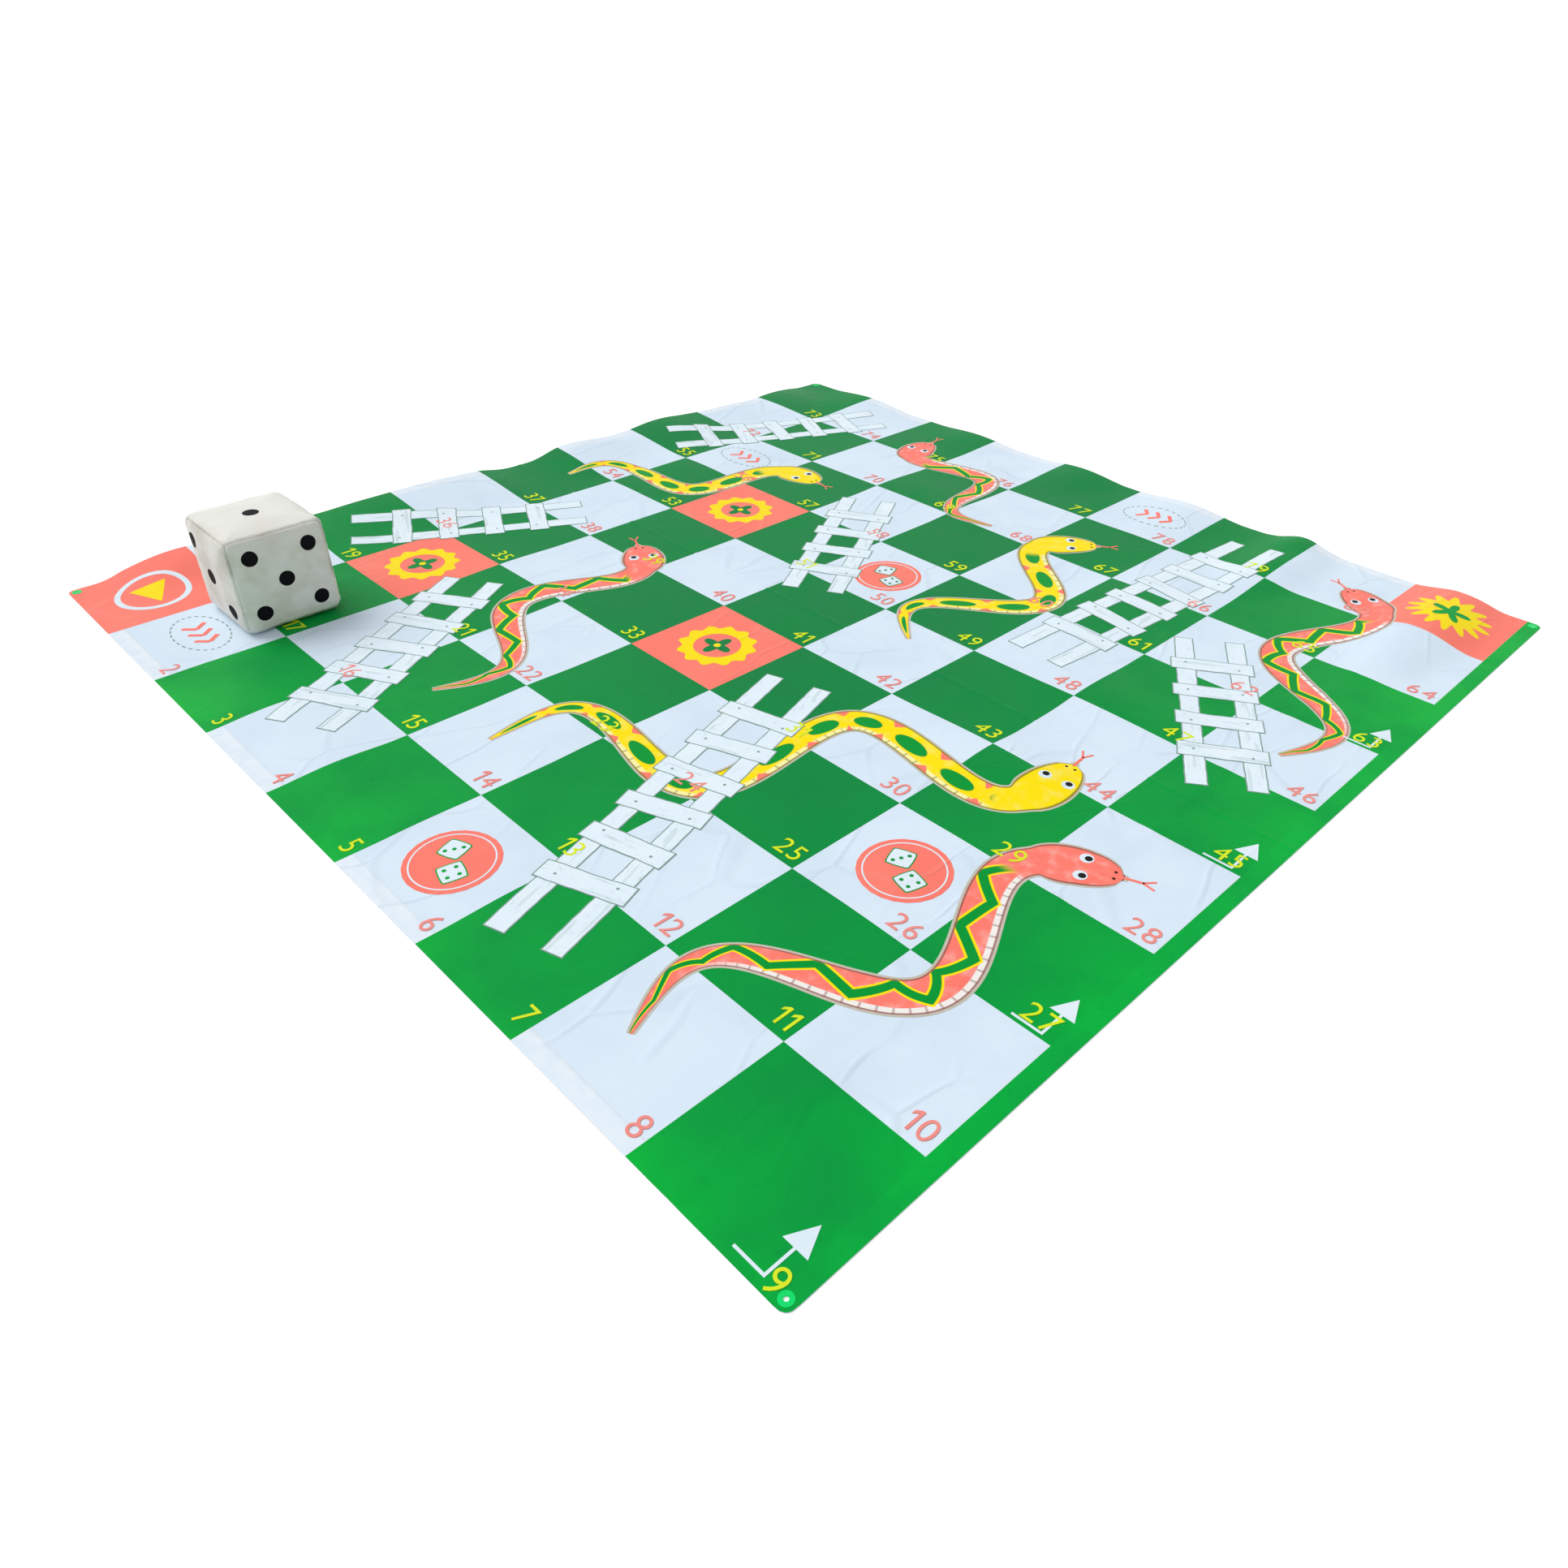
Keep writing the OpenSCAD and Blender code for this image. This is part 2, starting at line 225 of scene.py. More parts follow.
class Nodes:
    """A node tree that is filled through one node-making method."""

    def __init__(self, tree: bpy.types.NodeTree) -> None:
        """Clear the tree that is to be filled."""
        self.tree = tree
        self.tree.nodes.clear()

    def node(
        self,
        kind: str,
        settings: dict[str, Any] | None = None,
        inputs: dict[str | int, Any] | None = None,
        output: int | str = 0,
    ) -> Wire:
        """Make one node.

        Args:
            kind: The node's type.
            settings: Attributes, which are set first.
            inputs: Values or wires for its sockets, by name or index.
            output: The output that is wanted.

        Returns:
            That output.
        """
        made = self.tree.nodes.new(kind)
        for key, value in (settings or {}).items():
            setattr(made, key, value)
        for key, value in (inputs or {}).items():
            if isinstance(value, Wire):
                self.tree.links.new(value.socket, made.inputs[key])
            else:
                made.inputs[key].default_value = value
        return Wire(self, made.outputs[output])

    def math(self, operation: str, *values: Value) -> Wire:
        """Make a Math node of numbers or wires."""
        return self.node("ShaderNodeMath", {"operation": operation}, dict(enumerate(values)))

    def largest(self, *values: Wire) -> Wire:
        """Give the largest of several values."""
        return reduce(lambda first, second: self.math("MAXIMUM", first, second), values)

    def rise(self, value: Wire, start: float, end: float) -> Wire:
        """Rise smoothly from 0 at start to 1 at end."""
        settings = {"interpolation_type": "SMOOTHSTEP"}
        return self.node("ShaderNodeMapRange", settings, {0: value, 1: start, 2: end})

    def mix(self, share: Value, first: Wire | Colour, second: Wire | Colour) -> Wire:
        """Mix two colours, with the share of the second."""
        return self.node("ShaderNodeMix", {"data_type": "RGBA"}, {0: share, 6: first, 7: second}, 2)

    def place(self) -> Wire:
        """Give Object coordinates."""
        return self.node("ShaderNodeTexCoord", output="Object")

    def noise(self, scale: float, detail: float = 2.0, vector: Wire | None = None) -> Wire:
        """Make smooth noise of values about one half, on Object coordinates where none are given."""
        inputs = {"Vector": vector or self.place(), "Scale": scale, "Detail": detail}
        return self.node("ShaderNodeTexNoise", None, inputs)

    def patches(self, scale: float, detail: float, start: float, end: float) -> Wire:
        """Make patches with soft edges, where noise passes from start to end."""
        return self.rise(self.noise(scale, detail), start, end)

    def hills(self) -> Wire:
        """Make the soft unevenness that every print on the sheet shares."""
        return self.noise(9.0, 3.0)

    def outputs(self, wire: Wire, *names: int | str) -> list[Wire]:
        """Give several outputs of the node that a wire comes from."""
        return [Wire(self, wire.socket.node.outputs[name]) for name in names]

    def axes(self, vector: Wire | None = None) -> list[Wire]:
        """Split coordinates into three parts, Object coordinates where none are given."""
        return self.outputs(self.node("ShaderNodeSeparateXYZ", None, {0: vector or self.place()}), 0, 1, 2)

    def route(self) -> list[Wire]:
        """Split a printed band's route: metres along it, share of its half width, and its third value."""
        return self.axes(self.node("ShaderNodeAttribute", {"attribute_name": "route"}, output="Vector"))

    def finish(
        self, colour: Wire, roughness: Value, relief: Wire, depth: float, gloss: float = INK_GLOSS
    ) -> None:
        """Close a material's tree with its surface.

        Args:
            colour: Its colour.
            roughness: Its roughness.
            relief: What its relief follows.
            depth: The depth of that relief.
            gloss: How strongly it mirrors.
        """
        bump = {"Height": relief, "Distance": depth, "Strength": 1.0}
        inputs = {
            "Base Color": colour,
            "Roughness": roughness,
            "Specular IOR Level": gloss,
            "Normal": self.node("ShaderNodeBump", None, bump),
        }
        self.close(self.node("ShaderNodeBsdfPrincipled", None, inputs))

    def close(self, shader: Wire, kind: str = "ShaderNodeOutputMaterial") -> None:
        """Join a shader to the tree's end."""
        end = self.tree.nodes.new(kind)
        self.tree.links.new(shader.socket, end.inputs["Surface"])


def new_material(name: str) -> tuple[Material, Nodes]:
    """Start a material.

    Args:
        name: Its name.

    Returns:
        The material and its empty tree.
    """
    material = bpy.data.materials.new(name)
    material.use_nodes = True
    return material, Nodes(material.node_tree)


@dataclass(frozen=True)
class PrintedCloth:
    """Coated woven cloth in one print colour: weave, soft wrinkles, uneven ink, and painted shade and
    sheen.
    """

    name: str
    colour: Colour
    worn: Colour
    roughness: float = 0.45
    crinkle: float = 0.62
    crease_scale: float = 4.4
    crease_width: float = 0.060
    weave_pitch: float = 0.0024
    hem_reach: float = 0.0
    hem_pale: Colour = ink(242, 247, 252)
    # Painted shade colour of the hem's weld line.
    hem_weld: Colour = ink(176, 190, 204)
    strip_start: float = 0.0
    strip_colour: Colour | None = None
    # Painted shade and sheen colour, and how far in it grows.
    trodden: Colour | None = None
    trodden_reach: float = 1.15

    def relief(self, nodes: Nodes) -> tuple[Wire, Wire]:
        """Work out the cloth's relief.

        Args:
            nodes: The tree to fill.

        Returns:
            The relief and the wrinkles alone, both about 0 to 1.
        """
        x, y, _ = nodes.axes()
        turns = 2 * math.pi / self.weave_pitch
        weave = nodes.math("SINE", x * turns) * nodes.math("SINE", y * turns)
        bend = nodes.noise(2.3) * 0.30
        stretched = nodes.node("ShaderNodeCombineXYZ", None, {0: x * 1.5 + bend, 1: y * 0.8 - bend})
        creases = {"Vector": stretched, "Scale": self.crease_scale}
        off = nodes.node("ShaderNodeTexVoronoi", {"feature": "DISTANCE_TO_EDGE"}, creases)
        wrinkles = (1 - nodes.rise(off, 0.0, self.crease_width)) * nodes.patches(3.0, 2.0, 0.40, 0.58)
        return weave * 0.04 + wrinkles * self.crinkle + nodes.hills() * 0.6, wrinkles

    def make(self) -> Material:
        """Make the material.

        Returns:
            The finished material.
        """
        material, nodes = new_material(self.name)
        relief, wrinkles = self.relief(nodes)
        blotches = nodes.patches(4.5, 4.0, 0.35, 0.75)
        scuffs = nodes.patches(46.0, 3.0, 0.60, 0.74)
        colour = self.colour
        # Painted shade and sheen: the green turns darker and bluer away from the near and right edges.
        if self.trodden is not None:
            colour = nodes.mix(self.tread(nodes), colour, self.trodden)
        if self.strip_colour is not None:
            strip = nodes.rise(nodes.axes()[0], self.strip_start, self.strip_start + 0.001)
            colour = nodes.mix(strip, colour, self.strip_colour)
        # Painted shade along the creases: the wrinkles term darkens the colour there, beside real blotches
        # and scuffs.
        worn = blotches * 0.55 + scuffs * 0.18 + wrinkles * self.crinkle * 0.5
        colour = nodes.mix(worn, colour, self.worn)
        if self.hem_reach > 0:
            colour = self.hem(nodes, colour)
        roughness = self.roughness + (blotches - 0.5) * 0.12 + scuffs * 0.10
        nodes.finish(colour, roughness, relief, CLOTH_DEPTH)
        return material

    def tread(self, nodes: Nodes) -> Wire:
        """Give the share of painted shade and sheen, a darker bluish green that grows away from the near
        and right edges.

        Args:
            nodes: The tree to fill.

        Returns:
            The share, 0 to 1.
        """
        low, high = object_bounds()
        x, y, _ = nodes.axes()
        inside = nodes.math("MINIMUM", high.x - x, y - low.y)
        uneven = inside / self.trodden_reach + (nodes.noise(2.0) - 0.5) * 0.35
        return nodes.math("MINIMUM", nodes.math("MAXIMUM", uneven, 0.0), 1.0) ** 0.5

    def hem(self, nodes: Nodes, colour: Wire) -> Wire:
        """Lighten the band where the edge is turned under, and paint shade along its weld line.

        Args:
            nodes: The tree to fill.
            colour: The plain colour.

        Returns:
            The colour with the band.
        """
        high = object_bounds()[1]
        x, y, _ = nodes.axes()
        inside = nodes.math("MINIMUM", high.x - abs(x), high.y - abs(y))
        band = 1 - nodes.rise(inside, self.hem_reach, self.hem_reach + 0.004)
        # Painted shade: a darker line along the weld, where the hem's edge steps.
        weld_shade = 1 - nodes.rise(abs(inside - self.hem_reach), 0.001, 0.005)
        ripples = nodes.patches(34.0, 2.0, 0.40, 0.66)
        lighter = nodes.mix(band * (0.30 + ripples * 0.30), colour, self.hem_pale)
        return nodes.mix(weld_shade * 0.16, lighter, self.hem_weld)


@dataclass(frozen=True)
class SnakeSkin:
    """A printed snake: its back's markings, pale belly and thin outline, along its own route."""

    name: str
    pattern: Pattern
    body: Colour
    belly: Colour
    mark: Colour
    accent: Colour
    outline: Colour
    pitch: float
    head_reach: float = 0.19
    scute_pitch: float = 0.022

    def markings(self, nodes: Nodes, along: Wire, side: Wire) -> tuple[Wire, Wire]:
        """Work out the two colours of marks.

        Args:
            nodes: The tree to fill.
            along: Metres from the tail.
            side: Share of the half width, minus 1 to 1.

        Returns:
            The main marks and the accents, as masks.
        """
        turn = (along / self.pitch) % 1.0
        if self.pattern is Pattern.ZIGZAG:
            path = abs(turn - 0.5) * 2.2 - 0.34
            off = abs(side - path)
            return 1 - nodes.rise(off, 0.26, 0.30), 1 - nodes.rise(off, 0.40, 0.44)
        oval = ((turn - 0.5) * 2.9) ** 2.0 + (side * 1.9) ** 2.0
        half_turn = ((along / self.pitch) + 0.5) % 1.0
        wedge = abs(half_turn - 0.5) * 3.2 + (1 - abs(side)) * 0.9
        return 1 - nodes.rise(oval, 0.80, 1.0), 1 - nodes.rise(wedge, 0.44, 0.52)

    def make(self) -> Material:
        """Make the material.

        Returns:
            The finished material.
        """
        material, nodes = new_material(self.name)
        along, side, left = nodes.route()
        marks, accents = self.markings(nodes, along, side)
        body_only = nodes.rise(left, self.head_reach, self.head_reach + 0.03)
        wear = nodes.patches(30.0, 4.0, 0.45, 0.75)
        colour = nodes.mix(wear * 0.25, self.body, self.belly)
        belly = (1 - nodes.rise(side, -0.66, -0.60)) * nodes.rise(along, 0.10, 0.30)
        scutes = nodes.rise(abs((along / self.scute_pitch) % 1.0 - 0.5), 0.38, 0.46)
        colour = nodes.mix(belly * body_only, colour, self.belly)
        colour = nodes.mix(belly * body_only * scutes * 0.55, colour, self.outline)
        colour = nodes.mix(accents * body_only, colour, self.accent)
        colour = nodes.mix(marks * body_only, colour, self.mark)
        rim = nodes.rise(abs(side), 0.885, 0.925)
        colour = nodes.mix(rim * 0.85, colour, self.outline)
        nodes.finish(colour, 0.42 + wear * 0.08, nodes.hills() * 0.9, CLOTH_DEPTH)
        return material


@dataclass(frozen=True)
class PlankInk:
    """Pale printed planks with drawn grain."""

    name: str
    wood: Colour
    grain: Colour
    pale: Colour = ink(240, 248, 253)
    roughness: float = 0.46

    def make(self) -> Material:
        """Make the material.

        Returns:
            The finished material.
        """
        material, nodes = new_material(self.name)
        along, side, seed = nodes.route()
        fibre = nodes.node("ShaderNodeCombineXYZ", None, {0: along * 9.0, 1: side * 2.1, 2: seed})
        lines = 1 - nodes.rise(abs(nodes.noise(1.6, 2.0, fibre) - 0.5), 0.004, 0.014)
        knots = nodes.rise(nodes.noise(0.9, 0.0, fibre), 0.70, 0.74)
        blush = nodes.patches(12.0, 3.0, 0.40, 0.70)
        broken = nodes.patches(26.0, 2.0, 0.40, 0.60)
        colour = nodes.mix(blush * 0.40, self.wood, self.pale)
        colour = nodes.mix(lines * broken * 0.50 + knots * 0.25, colour, self.grain)
        nodes.finish(colour, self.roughness, nodes.hills() * 0.6, CLOTH_DEPTH)
        return material


@dataclass(frozen=True)
class DieCover:
    """Off-white leathercloth over foam, mottled and grubby towards its seams, with painted shade on its
    sides and side seams.
    """

    name: str
    colour: Colour
    # Colours of real grime mixed with painted shade; the seam colour paints shade along the side seams.
    grime: Colour
    seam: Colour
    side: float
    place: Vector
    depth: float = 0.0016
    gloss: float = 0.5

    def make(self) -> Material:
        """Make the material.

        Returns:
            The finished material.
        """
        material, nodes = new_material(self.name)
        inputs = {0: nodes.place(), 1: self.place}
        centred = nodes.node("ShaderNodeVectorMath", {"operation": "SUBTRACT"}, inputs)
        x, y, z = (abs(part) / (self.side / 2) for part in nodes.axes(centred))
        middle = nodes.largest(*(nodes.math("MINIMUM", *pair) for pair in combinations((x, y, z), 2)))
        off_seam = nodes.largest(x, y, z) - middle
        edge = nodes.rise(middle, 0.70, 1.0)
        seam = 1 - nodes.rise(off_seam, 0.006, 0.020)
        blotches = nodes.patches(13.0, 5.0, 0.38, 0.72)
        specks = nodes.patches(90.0, 3.0, 0.60, 0.70)
        smear = nodes.patches(5.0, 2.0, 0.45, 0.70)
        # Painted shade mixed with real grime: the sides and their seams come out darker than the top.
        side = 1 - nodes.rise(z, 0.90, 1.0)
        grime_and_side_shade = blotches * 0.14 + smear * 0.10 + specks * 0.08 + (edge * 0.25 + side * 0.30) * blotches
        colour = nodes.mix(grime_and_side_shade, self.colour, self.grime)
        smudge_and_seam_shade = (1 - nodes.rise(off_seam, 0.020, 0.080)) * blotches * 0.45
        colour = nodes.mix(seam * side * (0.25 + blotches * 0.55), colour, self.seam)
        colour = nodes.mix(smudge_and_seam_shade * side, colour, self.seam)
        pebble = nodes.node("ShaderNodeTexVoronoi", None, {"Scale": 520.0})
        relief = pebble * 0.35 + nodes.noise(60.0, 4.0) * 0.6 + nodes.noise(17.0, 3.0)
        nodes.finish(colour, 0.55 + grime_and_side_shade * 0.15, relief, self.depth, self.gloss)
        return material


@dataclass(frozen=True)
class PlainFinish:
    """A small part's finish: one colour with its own wear."""

    name: str
    colour: Colour
    worn: Colour
    roughness: float = 0.45
    grain: float = 60.0
    gloss: float = INK_GLOSS
    depth: float = 0.0004

    def make(self) -> Material:
        """Make the material.

        Returns:
            The finished material.
        """
        material, nodes = new_material(self.name)
        wear = nodes.patches(self.grain, 4.0, 0.45, 0.75)
        colour = nodes.mix(wear * 0.5, self.colour, self.worn)
        relief = nodes.noise(self.grain * 3, 3.0)
        nodes.finish(colour, self.roughness + wear * 0.15, relief, self.depth, self.gloss)
        return material


def place_object(name: str, data: bpy.types.ID) -> Object:
    """Make an object of its data and put it in the scene.

    Args:
        name: Its name.
        data: Its mesh, curve, lamp or camera.

    Returns:
        The new object.
    """
    made = bpy.data.objects.new(name, data)
    bpy.context.scene.collection.objects.link(made)
    return made


def evaluated(source: Object) -> Object:
    """Give an object as its modifiers leave it."""
    return source.evaluated_get(bpy.context.evaluated_depsgraph_get())


def settle(source: Object) -> bpy.types.Mesh:
    """Apply an object's curve or modifiers to a mesh and drop the object.

    Args:
        source: The object.

    Returns:
        The new mesh.
    """
    bpy.context.view_layer.update()
    data = bpy.data.meshes.new_from_object(evaluated(source))
    bpy.data.objects.remove(source)
    return data


def mesh_piece(name: str, mesh: Mesh, materials: Sequence[Material], sharp: float = 0.7) -> Object:
    """Turn a bmesh into an object at the origin, smooth apart from its sharp edges.

    Args:
        name: The piece's name.
        mesh: Its bmesh, which is freed.
        materials: Its materials in order.
        sharp: The angle past which an edge stays sharp.

    Returns:
        The new object.
    """
    bmesh.ops.recalc_face_normals(mesh, faces=mesh.faces[:])
    for face in mesh.faces:
        face.smooth = True
    for edge in mesh.edges:
        edge.smooth = edge.calc_face_angle(0.0) < sharp
    data = bpy.data.meshes.new(name)
    mesh.to_mesh(data)
    mesh.free()
    for material in materials:
        data.materials.append(material)
    LOG.info("%s: %d faces", name, len(data.polygons))
    return place_object(name, data)


def seat(piece: Object, body: str, slot: str, *nodes: str) -> Object:
    """Let a piece ride on its body, in place of the nodes that it stands for.

    Args:
        piece: The piece.
        body: The body.
        slot: The record's material slot; not used.
        nodes: The frame's nodes, if any.

    Returns:
        The same piece.
    """
    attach(piece, body)
    if nodes:
        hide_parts(*nodes)
    return piece


def faces_of(verts: Iterable[bmesh.types.BMVert]) -> Faces:
    """List the faces that meet at some vertices."""
    return list({face for vert in verts for face in vert.link_faces})


def extrude(mesh: Mesh, faces: Faces) -> list[bmesh.types.BMVert]:
    """Close flat faces with a second side and give that side's vertices."""
    made = bmesh.ops.extrude_face_region(mesh, geom=faces)
    return [item for item in made["geom"] if isinstance(item, bmesh.types.BMVert)]


def thicken(mesh: Mesh, faces: Faces, top: float, bottom: float) -> None:
    """Make flat faces a closed plate.

    Args:
        mesh: The mesh that holds them.
        faces: The flat faces.
        top: Height of the plate's upper side.
        bottom: Height of its lower side.
    """
    for vert in {vert for face in faces for vert in face.verts}:
        vert.co.z = bottom
    for vert in extrude(mesh, faces):
        vert.co.z = top


def bend_round(
    mesh: Mesh, sides: int, rows: int, place: Callable[[float, float], Vector]
) -> Faces:
    """Bend a grid round into a ring or a disc and close its seam.

    Args:
        mesh: The mesh to add it to.
        sides: Faces round.
        rows: Faces from the inside out.
        place: Gives a place from its angle and its share of the way out, 0 to 1.

    Returns:
        The faces.
    """
    made = bmesh.ops.create_grid(mesh, x_segments=sides, y_segments=rows, size=1.0)["verts"]
    for vert in made:
        vert.co = place((vert.co.x + 1) * math.pi, (vert.co.y + 1) / 2)
    faces = faces_of(made)
    bmesh.ops.remove_doubles(mesh, verts=made, dist=MERGE_REACH)
    return [face for face in faces if face.is_valid]


def sideways(forward: Vector) -> Vector:
    """Give the flat direction to the left of another."""
    return Vector((-forward.y, forward.x, 0.0))


def lobes(mean: float, swing: float, count: int, turn: float = 0.0) -> Width:
    """Give a radius with round lobes, as a function of the angle."""
    return lambda angle: mean + swing * math.cos(count * (angle - turn))


@dataclass(frozen=True)
class Swell:
    """One rounded wave in the sheet: its middle and reach in board squares, its rise in metres."""

    u: float
    v: float
    reach_u: float
    reach_v: float
    rise: float

    def at(self, u: float, v: float) -> float:
        """Give the wave's height at a place on the board."""
        far = ((u - self.u) / self.reach_u) ** 2 + ((v - self.v) / self.reach_v) ** 2
        return self.rise * (1 - far) ** 2 if far < 1 else 0.0


FAR_LEFT_WAVES = (
    Swell(-0.1, 1.0, 1.1, 0.95, 0.034),
    Swell(-0.1, 2.05, 1.1, 0.95, 0.029),
    Swell(-0.1, 3.05, 1.2, 0.90, 0.033),
    Swell(-0.1, 3.90, 1.1, 0.80, 0.024),
    Swell(-0.1, 5.15, 1.1, 0.95, 0.031),
    Swell(-0.1, 6.40, 1.2, 0.90, 0.032),
    Swell(-0.1, 7.35, 1.0, 0.70, 0.014),
    Swell(0.2, 8.25, 0.9, 0.60, 0.014),
)
FAR_RIGHT_WAVES = (
    Swell(1.0, 9.0, 0.7, 0.9, 0.015),
    Swell(2.75, 9.1, 0.6, 0.8, 0.011),
    Swell(4.25, 9.0, 0.6, 0.9, 0.015),
    Swell(5.6, 9.0, 0.65, 1.2, 0.017),
    Swell(6.90, 8.6, 0.50, 1.3, 0.024),
    Swell(6.86, 9.05, 0.26, 0.45, 0.010),
    Swell(8.42, 8.3, 0.50, 1.6, 0.032),
)
NEAR_LEFT_WAVES = (
    Swell(3.3, 0.45, 1.9, 0.5, 0.009),
    Swell(5.7, 0.6, 1.1, 0.5, 0.005),
    Swell(-0.05, 0.75, 0.7, 0.6, 0.006),
)
INNER_WAVES = (
    Swell(2.6, 3.1, 1.6, 0.6, 0.005),
    Swell(6.3, 6.3, 0.6, 1.7, 0.006),
    Swell(3.4, 7.2, 1.7, 0.6, 0.006),
    Swell(7.5, 2.2, 0.6, 1.5, 0.003),
    Swell(4.6, 2.0, 1.4, 0.5, 0.004),
    Swell(1.3, 6.0, 0.6, 1.4, 0.005),
    Swell(7.0, 3.9, 1.0, 0.5, 0.010),
    Swell(7.2, 5.2, 1.0, 0.6, 0.008),
)


@dataclass
class Board:
    """The mat's squares and the waves in its sheet."""

    cell: float = 0.328
    count: int = 9
    left_margin: float = 0.008
    near_margin: float = 0.010
    corner: float = 0.020
    crease_share: float = 0.25
    crease_calm: float = 0.030
    crease_free: float = 0.180
    crease_rise: float = 0.0013
    crease_half: float = 0.010
    side_crease_u: float = 8.33
    side_crease_rise: float = 0.0010
    side_crease_half: float = 0.032
    die_calm: float = 0.240
    die_free: float = 0.420
    eyelet_calm: float = 0.056
    eyelet_free: float = 0.160
    coral: tuple[tuple[int, int], ...] = ((0, 0), (1, 2), (4, 3), (8, 8), (2, 5))
    swells: tuple[Swell, ...] = FAR_LEFT_WAVES + FAR_RIGHT_WAVES + NEAR_LEFT_WAVES + INNER_WAVES
    low: Vector = field(init=False)
    high: Vector = field(init=False)
    die_at: Vector = field(init=False)
    top: float = field(init=False)

    def __post_init__(self) -> None:
        """Take the sheet's box and the die's place from the frame."""
        self.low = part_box("sheet_near")[0]
        self.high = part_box("sheet_far")[1]
        self.top = self.high.z
        die_low, die_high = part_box("die_core")
        self.die_at = (die_low + die_high) / 2

    def at(self, u: float, v: float) -> Vector:
        """Turn a place in board squares into a flat place in metres."""
        start = (self.low.x + self.left_margin, self.low.y + self.near_margin)
        return Vector((start[0] + u * self.cell, start[1] + v * self.cell, 0.0))

    def shade(self, column: int, row: int) -> Shade:
        """Give the print of a square by its column and row, from 0."""
        plain = Shade.GREEN if (column + row) % 2 == 0 else Shade.WHITE
        return Shade.CORAL if (column, row) in self.coral else plain

    def number(self, column: int, row: int) -> int:
        """Number a square, in rows that run to and fro."""
        across = column if row % 2 == 0 else self.count - 1 - column
        return self.count * row + across + 1

    def wave(self, x: float, y: float) -> float:
        """Give the height of the sheet's waves and creases.

        Args:
            x: Place in the frame.
            y: Place in the frame.

        Returns:
            The height above the flat sheet.
        """
        u = (x - self.low.x - self.left_margin) / self.cell
        v = (y - self.low.y - self.near_margin) / self.cell
        swell = sum(each.at(u, v) for each in self.swells)
        free = ease(abs(y), self.crease_calm, self.crease_free)
        swell *= self.crease_share + (1 - self.crease_share) * free
        swell *= ease(math.hypot(x - self.die_at.x, y - self.die_at.y), self.die_calm, self.die_free)
        eyelet = math.hypot(abs(x) - self.high.x, abs(y) - self.high.y)
        swell *= ease(eyelet, self.eyelet_calm, self.eyelet_free)
        fold = self.crease_rise * (1 - ease(abs(y), 0.0, self.crease_half))
        off = abs(u - self.side_crease_u) * self.cell
        side_fold = self.side_crease_rise * (1 - ease(off, 0.0, self.side_crease_half))
        return swell + max(fold, side_fold * ease(abs(y), self.crease_half, 2 * self.crease_half))

    def lay(self, mesh: Mesh) -> None:
        """Raise a flat mesh, which already has its own thickness, onto the waved sheet."""
        for vert in mesh.verts:
            vert.co.z += self.top + self.wave(vert.co.x, vert.co.y)


